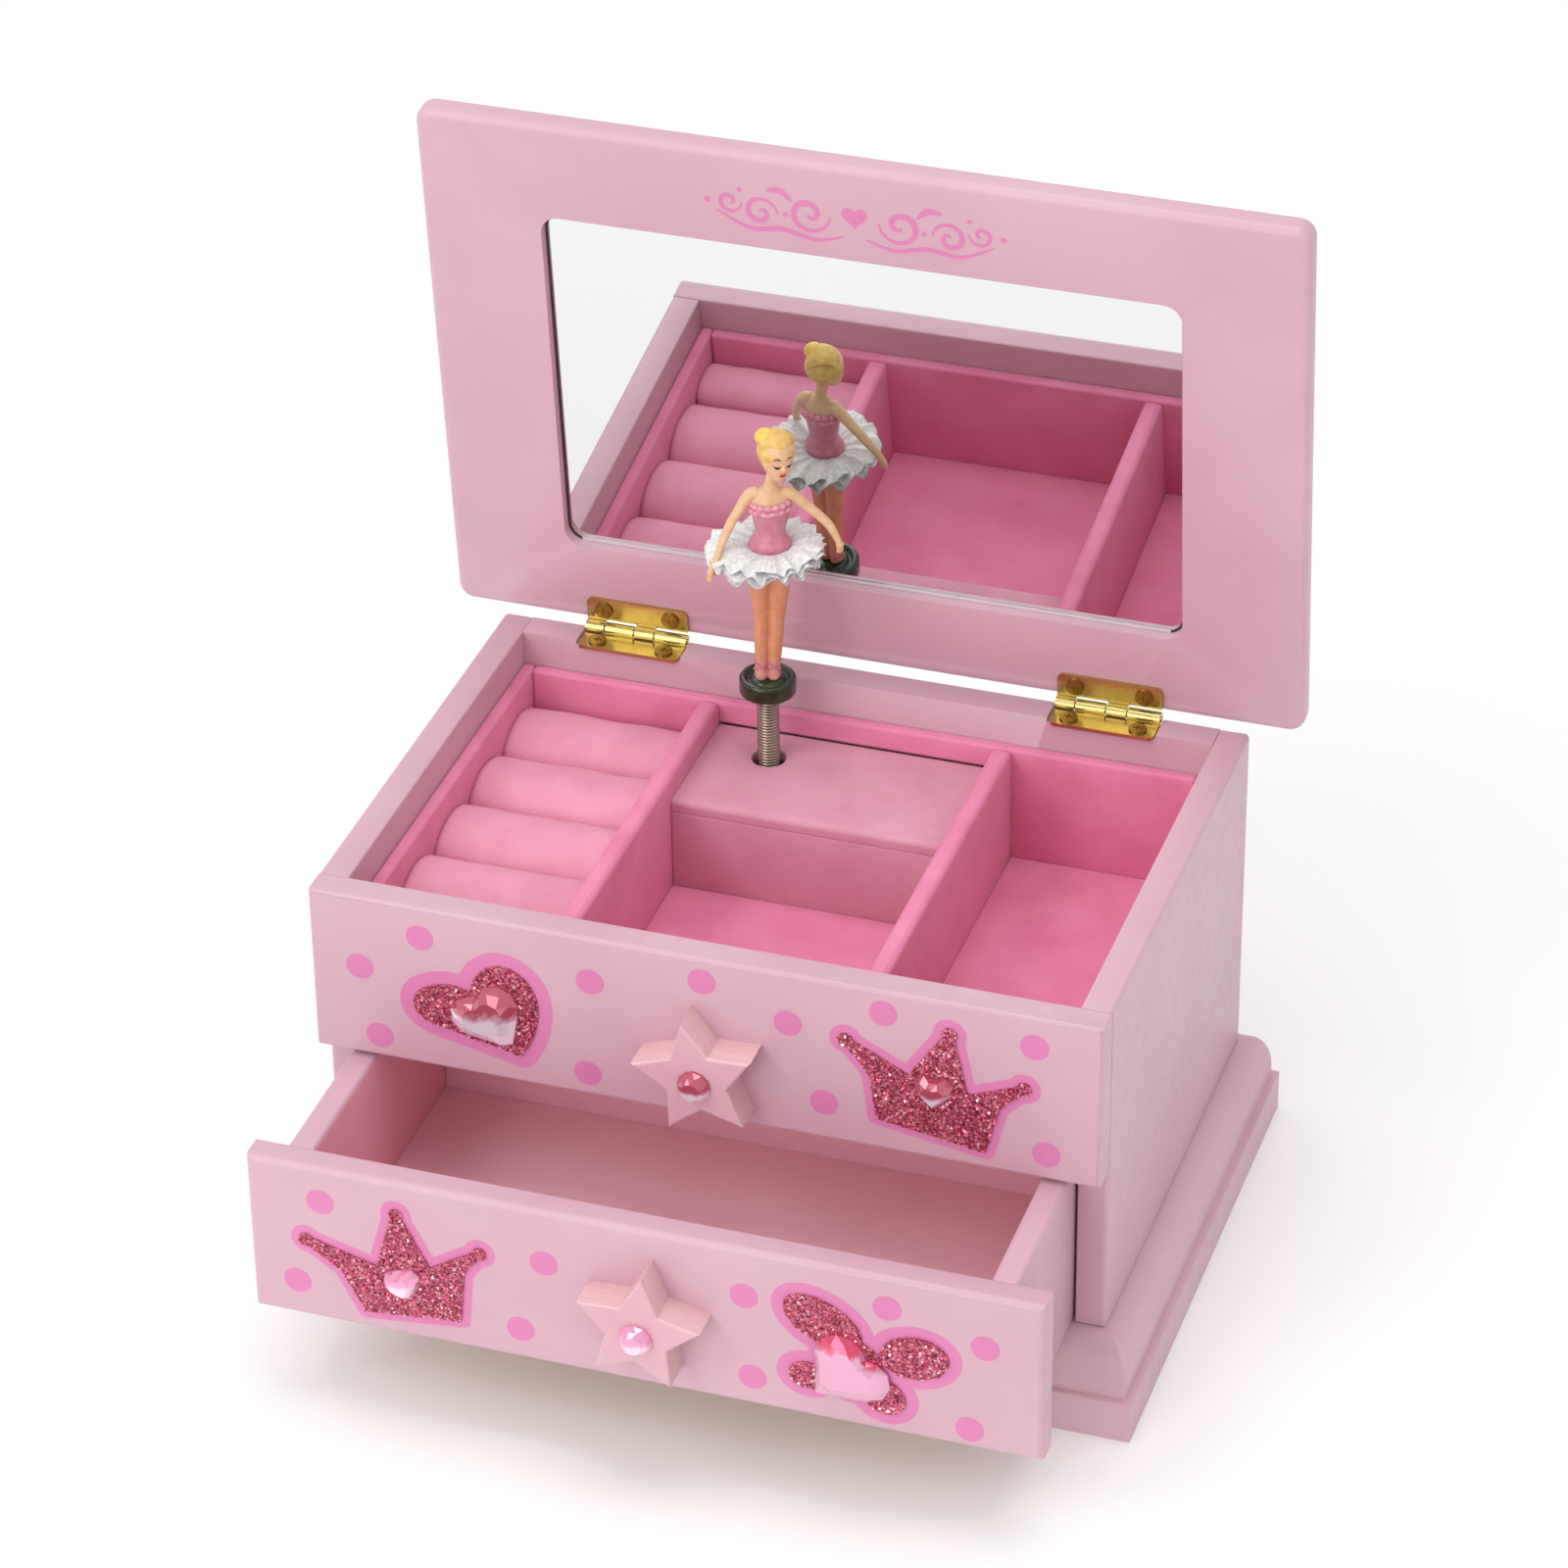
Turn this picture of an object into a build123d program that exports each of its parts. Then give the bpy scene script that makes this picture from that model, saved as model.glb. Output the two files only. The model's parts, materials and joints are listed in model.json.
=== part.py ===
"""Ballerina jewellery box: a painted wooden music box with a mirror lid, a lined tray and a drawer.

Millimetres. X runs to the right, Y to the back, Z up. The origin is on the underside of the
plinth, below the middle of the case. The box is built as it stands in use: lid raised, drawer
pulled part way out and the dancer upright on its spring.
"""

import os
from math import cos, pi, radians, sin

from build123d import *

# Case
case_w = 141.3
case_d = 96.0
board_t = 5.5
base_h = 18.6
rim_z = 84.4
tray_under_z = 51.9
tray_board_t = 2.5
edge_round = 0.8

# Plinth moulding, from the ground up: upright foot, small step, then a quarter round
plinth_over = 6.4
foot_h = 7.9
step_w = 1.25
round_h = 8.7

# Flocked tray furniture
lining_t = 2.4
lining_top_z = 77.9
divider_t = 3.6
bay_x = (-26.5, 25.3)
deck_front_y = 13.1
deck_top_z = 73.3
deck_t = 2.5
pad_t = 0.8
flock_round = 1.2
roll_pitch = 17.2
roll_gap = 0.2
roll_full_count = 4
roll_shoulder_z = 68.0
roll_top_z = 73.6

# Lid and mirror, laid out as if closed, measured from the hinge pin
open_angle = 84.5
pin_y = 47.6
pin_z = 84.7
lid_w = 160.2
lid_d = 105.1
lid_t = 5.2
lid_back = 0.6
lid_round = 1.6
mirror_w = 115.8
mirror_d = 70.2
mirror_from_back = 16.3
mirror_corner_r = 3.5
mirror_t = 1.8
mirror_recess = 2.0

# Butt hinges
hinge_x = 44.7
hinge_len = 19.4
leaf_t = 0.7
leaf_reach = 6.0
knuckle_r = 1.25
pin_r = 0.55
lid_knuckles = ((0.0, 3.5), (9.5, 13.1))
case_knuckles = ((3.8, 9.2), (13.4, 19.4))
knuckle_room = 0.35
hinge_screw_dx = 6.4
hinge_screw_reach = 3.75
screw_head_r = 1.65
screw_head_h = 0.4
screw_shank_r = 0.7
screw_len = 5.0
lid_screw_len = 3.6

# Drawer
drawer_out = 33.0
drawer_face_y = -47.9
drawer_front_t = 5.1
drawer_z = (18.9, 51.1)
drawer_half_w = 64.7
drawer_side_t = 4.8
drawer_box_d = 63.5
drawer_floor_z = 20.9
drawer_floor_t = 2.5
drawer_front_round = 1.4

# Star knobs, glitter shapes and cut gems on the two fronts
star_tip_r = 11.5
star_notch_r = 5.8
star_t = 6.4
star_round = 0.5
upper_star = (1.1, 63.5)
upper_star_lean = -11.4
drawer_star = (1.6, 34.2)
drawer_star_lean = 5.4
star_gem_drop = 0.7
star_gem_r = 3.0
gem_steps = ((0, 1.0), (0.8, 1.0), (2.3, 0.6))
glitter_t = 0.4

# Dancer: disc, coil spring and figure on the spindle's axis
spindle_x = -14.15
spindle_y = 31.7
deck_hole_r = 3.1
spring_r = 2.05
spring_bore_r = 1.4
spring_z = (68.5, 87.0)
coil_pitch = 0.6
disc_r = 5.15
disc_z = (87.3, 90.8)
dish_r = 4.05
dish_depth = 1.0
peg_r = 1.33
peg_len = 3.0
figure_turn = 18.8
hip_r = 3.9
tutu_r = 10.8
tutu_h = 25.1

# Musical movement, on the inside of the back wall
plate_t = 1.6
barrel_x = spindle_x
barrel_z = 52.0
train_y = 31.7
arbor_r = 1.5
arbor_clear = 0.05
crown_teeth = 32
pinion_teeth = 12
crown_module = 0.6
pinion_face = 2.6
crown_rim = (8.6, 10.6)
fine_module = 0.4
cylinder_wheel_teeth = 40
governor_teeth = 30
small_pinion_teeth = 8
governor_angle = 110.0
fan_angle = 35.0
addendum = 0.65
dedendum = 1.15
tooth_tip = 0.10
tooth_root = 0.24
cylinder_x = (-1.0, 17.0)
cylinder_r = 6.5
pin_stand = 0.5
note_count = 18
comb_t = 1.5
comb_gap = 0.25

# Worked out from the above
half_w = case_w / 2
front_y = -case_d / 2
back_y = case_d / 2
stile_y = front_y + board_t
inner_x = half_w - board_t
inner_y = back_y - board_t
tray_z = tray_under_z + tray_board_t
lined_x = inner_x - lining_t
lined_front_y = stile_y + lining_t
lined_back_y = inner_y - lining_t
plate_y = inner_y - plate_t
lid_angle = radians(open_angle)
hinge_starts = [side * hinge_x - hinge_len / 2 for side in (-1, 1)]
lid_plane = Plane(
    origin=(0, pin_y, pin_z), x_dir=(1, 0, 0), z_dir=(0, sin(lid_angle), cos(lid_angle))
)
lid_normal = Axis(lid_plane.origin, lid_plane.z_dir)
crown_r = crown_module * crown_teeth / 2
pinion_r = crown_module * pinion_teeth / 2
crown_pitch_y = train_y + pinion_r
governor_gap = fine_module * (cylinder_wheel_teeth + small_pinion_teeth) / 2
fan_gap = fine_module * (governor_teeth + small_pinion_teeth) / 2
governor_y = train_y + governor_gap * cos(radians(governor_angle))
governor_z = barrel_z + governor_gap * sin(radians(governor_angle))
fan_y = governor_y + fan_gap * cos(radians(fan_angle))
fan_z = governor_z + fan_gap * sin(radians(fan_angle))
movement_screw_spots = [(-23.2, 67.3), (-23.2, 34.2), (21.3, 34.2), (3.0, 67.3)]


def block(x, y, z, mode=Mode.ADD):
    """Rectangular block between three pairs of limits."""
    with Locations(((x[0] + x[1]) / 2, (y[0] + y[1]) / 2, (z[0] + z[1]) / 2)):
        Box(x[1] - x[0], y[1] - y[0], z[1] - z[0], mode=mode)


def rod_x(x, y, z, radius, mode=Mode.ADD):
    """Round bar along X."""
    with BuildSketch(Plane.YZ.offset(x[0])) as section:
        with Locations((y, z)):
            Circle(radius)
    extrude(section.sketch, amount=x[1] - x[0], mode=mode)


def rod_y(x, y, z, radius, mode=Mode.ADD):
    """Round bar along Y."""
    with BuildSketch(Plane.XZ.offset(-y[1])) as section:
        with Locations((x, z)):
            Circle(radius)
    extrude(section.sketch, amount=y[1] - y[0], mode=mode)


def rod_z(x, y, z, radius, mode=Mode.ADD):
    """Round bar along Z."""
    with BuildSketch(Plane.XY.offset(z[0])) as section:
        with Locations((x, y)):
            Circle(radius)
    extrude(section.sketch, amount=z[1] - z[0], mode=mode)


def gear_outline(teeth, module, first_tooth):
    """Corner points of a spur gear with straight-sided teeth; angles in degrees."""
    pitch_r = module * teeth / 2
    points = []
    for tooth in range(teeth):
        middle = radians(first_tooth) + tooth * 2 * pi / teeth
        for side, width, reach in (
            (-1, tooth_root, -dedendum),
            (-1, tooth_tip, addendum),
            (1, tooth_tip, addendum),
            (1, tooth_root, -dedendum),
        ):
            angle = middle + side * width * 2 * pi / teeth
            radius = pitch_r + reach * module
            points.append((radius * cos(angle), radius * sin(angle)))
    return points


def gear_x(x, y, z, teeth, module, first_tooth):
    """Spur gear on an axis along X; the angle starts at +Y and goes towards +Z."""
    with BuildSketch(Plane.YZ.offset(x[0])) as section:
        with Locations((y, z)):
            Polygon(*gear_outline(teeth, module, first_tooth), align=None)
    extrude(section.sketch, amount=x[1] - x[0])


def plinth_outline(half_width):
    """Section through the plinth, upright about the sketch's own middle."""
    shoulder = half_width - step_w
    with BuildLine() as outline:
        Polyline(
            (0, 0),
            (half_width, 0),
            (half_width, foot_h),
            (shoulder, foot_h),
            (shoulder, base_h - round_h),
        )
        EllipticalCenterArc(
            center=(half_width - plinth_over, base_h - round_h),
            x_radius=plinth_over - step_w,
            y_radius=round_h,
            start_angle=0,
            arc_size=90,
        )
        Line((half_width - plinth_over, base_h), (0, base_h))
        mirror(about=Plane.YZ)
    make_face(outline.edges())


def star_outline(centre, lean):
    """Five-pointed star whose top tip leans to the right by an angle in degrees."""
    points = []
    for corner in range(10):
        radius = star_notch_r if corner % 2 else star_tip_r
        angle = radians(90 - lean - 36 * corner)
        points.append((centre[0] + radius * cos(angle), centre[1] + radius * sin(angle)))
    Polygon(*points, align=None)


def heart_outline(size):
    """Heart with its lobes up, as wide as the size given, about the sketch's own middle."""
    side = size / (1 + 2**0.5 / 2)
    Rectangle(side, side, rotation=45)
    lobe = side * 2**0.5 / 4
    with Locations((-lobe, lobe), (lobe, lobe)):
        Circle(side / 2)


def heart_gem(centre, face_y, size, turn):
    """Heart-shaped cut stone that stands out of a front at face_y."""
    sections = []
    for height, scale_by in gem_steps:
        plane = Plane(
            origin=(centre[0], face_y - height, centre[1]),
            x_dir=(cos(radians(turn)), 0, sin(radians(turn))),
            z_dir=(0, -1, 0),
        )
        with BuildSketch(plane) as section:
            heart_outline(size * scale_by)
        sections.append(section.sketch)
    loft(sections, ruled=True)


def round_gem(centre, face_y, radius):
    """Round cut stone that stands out of a front at face_y."""
    sections = []
    for height, scale_by in gem_steps:
        with BuildSketch(Plane.XZ.offset(height - face_y)) as section:
            with Locations(centre):
                Circle(radius * scale_by)
        sections.append(section.sketch)
    loft(sections, ruled=True)


def limb(start, end, start_r, end_r):
    """Tapered limb with rounded ends, in the figure's own frame."""
    first, last = Vector(*start), Vector(*end)
    with Locations(Plane(origin=first, z_dir=last - first)):
        Cone(start_r, end_r, (last - first).length, align=(Align.CENTER, Align.CENTER, Align.MIN))
    with Locations(first):
        Sphere(start_r)
    with Locations(last):
        Sphere(end_r)


# Plinth: one thick board with a moulded edge
plinth_mid_y = board_t / 2
with BuildPart() as plinth_base:
    with BuildSketch(Plane.XZ.offset(-plinth_mid_y)):
        plinth_outline(half_w + plinth_over)
    extrude(amount=case_d, both=True)
    with BuildSketch(Plane(origin=(0, plinth_mid_y, 0), x_dir=(0, 1, 0), z_dir=(1, 0, 0))):
        plinth_outline((case_d - board_t) / 2 + plinth_over)
    extrude(amount=case_w, both=True, mode=Mode.INTERSECT)

# Case boards; the side walls' front ends show as stiles on both sides of the drawer
with BuildPart() as case_left_side:
    block((-half_w, -inner_x), (stile_y, back_y), (base_h, rim_z))
    fillet(case_left_side.faces().sort_by(Axis.X)[0].edges().group_by(Axis.Z)[1:], edge_round)

with BuildPart() as case_right_side:
    block((inner_x, half_w), (stile_y, back_y), (base_h, rim_z))
    fillet(case_right_side.faces().sort_by(Axis.X)[-1].edges().group_by(Axis.Z)[1:], edge_round)

with BuildPart() as case_back:
    block((-inner_x, inner_x), (inner_y, back_y), (base_h, rim_z))
    for start in hinge_starts:
        rebate_x = (start - knuckle_room, start + hinge_len + knuckle_room)
        block(rebate_x, (inner_y, back_y), (pin_z - knuckle_r, rim_z), mode=Mode.SUBTRACT)
        rod_x(rebate_x, pin_y, pin_z, knuckle_r + knuckle_room, mode=Mode.SUBTRACT)
        for dx in (-hinge_screw_dx, hinge_screw_dx):
            spot = (start + hinge_len / 2 + dx, pin_y - hinge_screw_reach)
            shank_z = (pin_z - knuckle_r - screw_len, pin_z)
            rod_z(spot[0], spot[1], shank_z, screw_shank_r, mode=Mode.SUBTRACT)
    rod_y(barrel_x, (inner_y, back_y), barrel_z, 2 * arbor_r, mode=Mode.SUBTRACT)
    for x, z in movement_screw_spots:
        rod_y(x, (inner_y, inner_y + 3), z, screw_shank_r, mode=Mode.SUBTRACT)

with BuildPart() as upper_front_panel:
    block((-half_w, half_w), (front_y, stile_y), (tray_under_z, rim_z))
    fillet(upper_front_panel.faces().sort_by(Axis.Y)[0].edges(), edge_round)

with BuildPart() as tray_floor:
    block((-inner_x, inner_x), (stile_y, inner_y), (tray_under_z, tray_z))
    block(bay_x, (deck_front_y + deck_t, inner_y), (tray_under_z, tray_z), mode=Mode.SUBTRACT)

# Flocked linings, dividers and the deck that hides the movement
lining_z = (tray_z, lining_top_z)
with BuildPart() as lining_left:
    block((-inner_x, -lined_x), (stile_y, inner_y), lining_z)

with BuildPart() as lining_right:
    block((lined_x, inner_x), (stile_y, inner_y), lining_z)

with BuildPart() as lining_front:
    block((-lined_x, lined_x), (stile_y, lined_front_y), lining_z)

with BuildPart() as lining_back:
    block((-lined_x, lined_x), (lined_back_y, inner_y), lining_z)
    block(bay_x, (lined_back_y, inner_y), (tray_z, deck_top_z), mode=Mode.SUBTRACT)

lined_y = (lined_front_y, lined_back_y)
with BuildPart() as divider_left:
    block((bay_x[0] - divider_t, bay_x[0]), lined_y, lining_z)
    fillet(divider_left.faces().sort_by(Axis.Z)[-1].edges(), flock_round)

with BuildPart() as divider_right:
    block((bay_x[1], bay_x[1] + divider_t), lined_y, lining_z)
    fillet(divider_right.faces().sort_by(Axis.Z)[-1].edges(), flock_round)

with BuildPart() as deck_top:
    block(bay_x, (deck_front_y, lined_back_y), (deck_top_z - deck_t, deck_top_z))
    fillet(deck_top.edges().filter_by(Axis.X).group_by(Axis.Y)[0].sort_by(Axis.Z)[-1], flock_round)
    rod_z(spindle_x, spindle_y, (deck_top_z - deck_t, deck_top_z), deck_hole_r, mode=Mode.SUBTRACT)

with BuildPart() as deck_riser:
    block(bay_x, (deck_front_y, deck_front_y + deck_t), (tray_z, deck_top_z - deck_t))

with BuildPart() as compartment_floor_pads:
    block(bay_x, (lined_front_y, deck_front_y), (tray_z, tray_z + pad_t))
    block((bay_x[1] + divider_t, lined_x), lined_y, (tray_z, tray_z + pad_t))

# Foam ring rolls, packed from the back; the front one is squeezed into what is left
with BuildPart() as ring_rolls:
    for roll in range(roll_full_count + 1):
        roll_back = lined_back_y - roll * roll_pitch - roll_gap / 2
        roll_front = max(roll_back - roll_pitch + roll_gap, lined_front_y + roll_gap / 2)
        with BuildSketch(Plane.YZ.offset(-lined_x + roll_gap / 2)):
            with BuildLine():
                Polyline(
                    (roll_front, roll_shoulder_z),
                    (roll_front, tray_z),
                    (roll_back, tray_z),
                    (roll_back, roll_shoulder_z),
                )
                EllipticalCenterArc(
                    center=((roll_front + roll_back) / 2, roll_shoulder_z),
                    x_radius=(roll_back - roll_front) / 2,
                    y_radius=roll_top_z - roll_shoulder_z,
                    start_angle=0,
                    arc_size=180,
                )
            make_face()
    extrude(amount=bay_x[0] - divider_t + lined_x - roll_gap)

# Lid board with its mirror pocket
lid_mid = -(lid_back + lid_d / 2)
mirror_mid = -(lid_back + mirror_from_back + mirror_d / 2)
with BuildPart() as lid_board:
    with BuildSketch(lid_plane.offset(knuckle_r)):
        with Locations((0, lid_mid)):
            RectangleRounded(lid_w, lid_d, 3)
    extrude(amount=lid_t)
    for lid_face in (0, -1):
        fillet(lid_board.faces().sort_by(lid_normal)[lid_face].edges(), lid_round)
    with BuildSketch(lid_plane.offset(knuckle_r)):
        with Locations((0, mirror_mid)):
            RectangleRounded(mirror_w, mirror_d, mirror_corner_r)
    extrude(amount=mirror_recess + mirror_t, mode=Mode.SUBTRACT)
    for start in hinge_starts:
        notch_x = (start - knuckle_room, start + hinge_len + knuckle_room)
        rod_x(notch_x, pin_y, pin_z, knuckle_r + knuckle_room, mode=Mode.SUBTRACT)
        with BuildSketch(lid_plane.offset(knuckle_r)):
            with Locations((start + hinge_len / 2, -hinge_screw_reach)):
                with GridLocations(2 * hinge_screw_dx, 1, 2, 1):
                    Circle(screw_shank_r)
        extrude(amount=lid_screw_len, mode=Mode.SUBTRACT)

with BuildPart() as mirror_glass:
    with BuildSketch(lid_plane.offset(knuckle_r + mirror_recess)):
        with Locations((0, mirror_mid)):
            RectangleRounded(mirror_w, mirror_d, mirror_corner_r)
    extrude(amount=mirror_t)

# Hinges: the case leaves lie in rebates in the rim, the lid leaves on the lid's inner face
leaf_z = (pin_z - knuckle_r, pin_z - knuckle_r + leaf_t)
leaf_inner = knuckle_r + knuckle_room
with BuildPart() as hinge_case_leaves:
    for start in hinge_starts:
        block((start, start + hinge_len), (pin_y - leaf_reach, pin_y - leaf_inner), leaf_z)
    fillet(hinge_case_leaves.edges().filter_by(Axis.Z).group_by(Axis.Y)[0], 1.2)
    for start in hinge_starts:
        for low, high in case_knuckles:
            block((start + low, start + high), (pin_y - leaf_inner, pin_y), leaf_z)
            rod_x((start + low, start + high), pin_y, pin_z, knuckle_r)
        rod_x((start, start + hinge_len), pin_y, pin_z, pin_r, mode=Mode.SUBTRACT)
        for dx in (-hinge_screw_dx, hinge_screw_dx):
            spot = (start + hinge_len / 2 + dx, pin_y - hinge_screw_reach)
            rod_z(spot[0], spot[1], leaf_z, screw_shank_r + 0.05, mode=Mode.SUBTRACT)

with BuildPart() as hinge_lid_leaves:
    for start in hinge_starts:
        with BuildSketch(lid_plane.offset(knuckle_r - leaf_t)):
            with Locations((start + hinge_len / 2, -(leaf_inner + leaf_reach) / 2)):
                leaf = Rectangle(hinge_len, leaf_reach - leaf_inner)
                fillet(leaf.vertices().group_by(Axis.Y)[0], 1.2)
            for low, high in lid_knuckles:
                with Locations((start + (low + high) / 2, -leaf_inner / 2)):
                    Rectangle(high - low, leaf_inner)
        extrude(amount=leaf_t)
        for low, high in lid_knuckles:
            rod_x((start + low, start + high), pin_y, pin_z, knuckle_r)
        rod_x((start, start + hinge_len), pin_y, pin_z, pin_r + 0.05, mode=Mode.SUBTRACT)
        with BuildSketch(lid_plane.offset(knuckle_r - leaf_t)):
            with Locations((start + hinge_len / 2, -hinge_screw_reach)):
                with GridLocations(2 * hinge_screw_dx, 1, 2, 1):
                    Circle(screw_shank_r + 0.05)
        extrude(amount=leaf_t, mode=Mode.SUBTRACT)

with BuildPart() as hinge_pins:
    for start in hinge_starts:
        rod_x((start - 0.2, start + hinge_len + 0.2), pin_y, pin_z, pin_r)


def leaf_screws(plane, shank_len, side):
    """Four cross-head screws, heads up, on the side of the pin given by a sign."""
    spots = [
        (start + hinge_len / 2 + dx, side * hinge_screw_reach)
        for start in hinge_starts
        for dx in (-hinge_screw_dx, hinge_screw_dx)
    ]
    with BuildSketch(plane) as shanks:
        with Locations(*spots):
            Circle(screw_shank_r)
    extrude(shanks.sketch, amount=-shank_len - leaf_t)
    with BuildSketch(plane) as heads:
        with Locations(*spots):
            Circle(screw_head_r)
    extrude(heads.sketch, amount=screw_head_h)
    with BuildSketch(plane.offset(screw_head_h / 2)) as slots:
        with Locations(*spots):
            Rectangle(screw_head_r, 0.3)
            Rectangle(0.3, screw_head_r)
    extrude(slots.sketch, amount=screw_head_h, mode=Mode.SUBTRACT)


with BuildPart() as hinge_case_screws:
    leaf_screws(Plane(origin=(0, pin_y, leaf_z[1])), screw_len, -1)

# the lid leaves face the box, so their screws are laid out on the plane seen from below
lid_leaf_face = Plane(
    origin=lid_plane.from_local_coords((0, 0, knuckle_r - leaf_t)),
    x_dir=(1, 0, 0),
    z_dir=-lid_plane.z_dir,
)
with BuildPart() as hinge_lid_screws:
    leaf_screws(lid_leaf_face, lid_screw_len, 1)

# Drawer, standing out of the case by drawer_out
face_y = drawer_face_y - drawer_out
box_front_y = face_y + drawer_front_t
box_back_y = box_front_y + drawer_box_d
drawer_in_x = drawer_half_w - drawer_side_t
with BuildPart() as drawer_front:
    block((-half_w, half_w), (face_y, box_front_y), drawer_z)
    fillet(drawer_front.faces().sort_by(Axis.Y)[0].edges(), drawer_front_round)

with BuildPart() as drawer_left_side:
    block((-drawer_half_w, -drawer_in_x), (box_front_y, box_back_y), drawer_z)
    fillet(drawer_left_side.faces().sort_by(Axis.Z)[-1].edges().filter_by(Axis.Y), edge_round)

with BuildPart() as drawer_right_side:
    block((drawer_in_x, drawer_half_w), (box_front_y, box_back_y), drawer_z)
    fillet(drawer_right_side.faces().sort_by(Axis.Z)[-1].edges().filter_by(Axis.Y), edge_round)

with BuildPart() as drawer_back:
    block((-drawer_in_x, drawer_in_x), (box_back_y - drawer_side_t, box_back_y), drawer_z)
    fillet(drawer_back.faces().sort_by(Axis.Z)[-1].edges().filter_by(Axis.X), edge_round)

drawer_floor_top = drawer_floor_z + drawer_floor_t
drawer_floor_y = (box_front_y, box_back_y - drawer_side_t)
with BuildPart() as drawer_bottom:
    block((-drawer_in_x, drawer_in_x), drawer_floor_y, (drawer_floor_z, drawer_floor_top))

with BuildPart() as drawer_floor_pad:
    block((-drawer_in_x, drawer_in_x), drawer_floor_y, (drawer_floor_top, drawer_floor_top + pad_t))

# Star knobs
with BuildPart() as star_knob_upper:
    with BuildSketch(Plane.XZ.offset(-front_y)):
        star_outline(upper_star, upper_star_lean)
    extrude(amount=star_t)
    fillet(star_knob_upper.faces().sort_by(Axis.Y)[0].edges(), star_round)

with BuildPart() as star_knob_drawer:
    with BuildSketch(Plane.XZ.offset(-face_y)):
        star_outline(drawer_star, drawer_star_lean)
    extrude(amount=star_t)
    fillet(star_knob_drawer.faces().sort_by(Axis.Y)[0].edges(), star_round)

with BuildPart() as gem_star_upper:
    gem_at = (upper_star[0], upper_star[1] - star_gem_drop)
    round_gem(gem_at, front_y - star_t, star_gem_r)

with BuildPart() as gem_star_drawer:
    gem_at = (drawer_star[0], drawer_star[1] - star_gem_drop)
    round_gem(gem_at, face_y - star_t, star_gem_r)

# Glitter shapes: a heart and a crown on the case, a crown and a butterfly on the drawer
heart_notch = (-41.4, 68.6)
heart_tip = (-32.4, 57.7)
with BuildPart() as glitter_heart:
    with BuildSketch(Plane.XZ.offset(-front_y)):
        with BuildLine():
            Spline(
                heart_notch,
                (-44.6, 69.8),
                (-48.4, 69.0),
                (-51.3, 67.0),
                (-51.8, 64.2),
                (-49.6, 61.8),
                (-45.6, 60.6),
                (-39.0, 59.2),
                heart_tip,
            )
            Spline(
                heart_notch,
                (-40.8, 71.6),
                (-39.0, 74.1),
                (-36.2, 75.5),
                (-32.6, 74.7),
                (-29.9, 71.7),
                (-29.1, 67.3),
                (-30.2, 61.8),
                heart_tip,
            )
        make_face()
    extrude(amount=glitter_t)


def crown_outline(base, sides, tips, valleys, tip_r):
    """Three-pointed crown; a small ball ends each point."""
    spikes = []
    for spot, (x, z) in enumerate(tips):
        spikes.append(((x - 0.7, z), (x + 0.7, z)) if spot == 1 else ((x, z + 0.8), (x, z - 0.8)))
    left, middle, right = spikes
    Polygon(
        base[0],
        base[1],
        sides[1],
        right[1],
        right[0],
        valleys[1],
        middle[1],
        middle[0],
        valleys[0],
        left[0],
        left[1],
        sides[0],
        align=None,
    )
    with Locations(*tips):
        Circle(tip_r)


with BuildPart() as glitter_crown_upper:
    with BuildSketch(Plane.XZ.offset(-front_y)):
        crown_outline(
            base=((31.4, 58.5), (50.6, 55.5)),
            sides=((30.3, 67.2), (53.0, 65.0)),
            tips=((26.0, 73.4), (44.2, 78.2), (57.2, 69.8)),
            valleys=((37.0, 68.6), (47.4, 66.6)),
            tip_r=1.3,
        )
    extrude(amount=glitter_t)

with BuildPart() as glitter_crown_drawer:
    with BuildSketch(Plane.XZ.offset(-face_y)):
        crown_outline(
            base=((-49.8, 22.8), (-32.3, 24.8)),
            sides=((-53.8, 30.6), (-31.4, 35.0)),
            tips=((-60.2, 35.8), (-43.4, 44.6), (-28.5, 39.8)),
            valleys=((-47.4, 33.0), (-37.6, 34.8)),
            tip_r=1.2,
        )
    extrude(amount=glitter_t)

butterfly_wings = (
    ((32.4, 39.6), 7.4, 4.2, -28),
    ((48.4, 35.8), 6.0, 4.2, 8),
    ((29.8, 28.0), 3.4, 2.6, 0),
    ((43.0, 26.6), 4.0, 3.4, -30),
)
with BuildPart() as glitter_butterfly:
    with BuildSketch(Plane.XZ.offset(-face_y)):
        for centre, long_r, short_r, turn in butterfly_wings:
            with Locations(centre):
                Ellipse(long_r, short_r, rotation=turn)
        with Locations((37.4, 31.6)):
            Circle(5.6)
    extrude(amount=glitter_t)

with BuildPart() as gem_heart:
    heart_gem((-37.1, 63.8), front_y - glitter_t, 13.6, 35)

with BuildPart() as gem_crown_upper:
    heart_gem((41.8, 66.0), front_y - glitter_t, 7.0, 0)

with BuildPart() as gem_crown_drawer:
    heart_gem((-42.2, 30.2), face_y - glitter_t, 7.0, 20)

with BuildPart() as gem_butterfly:
    heart_gem((35.6, 29.4), face_y - glitter_t, 15.0, -44)

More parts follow.
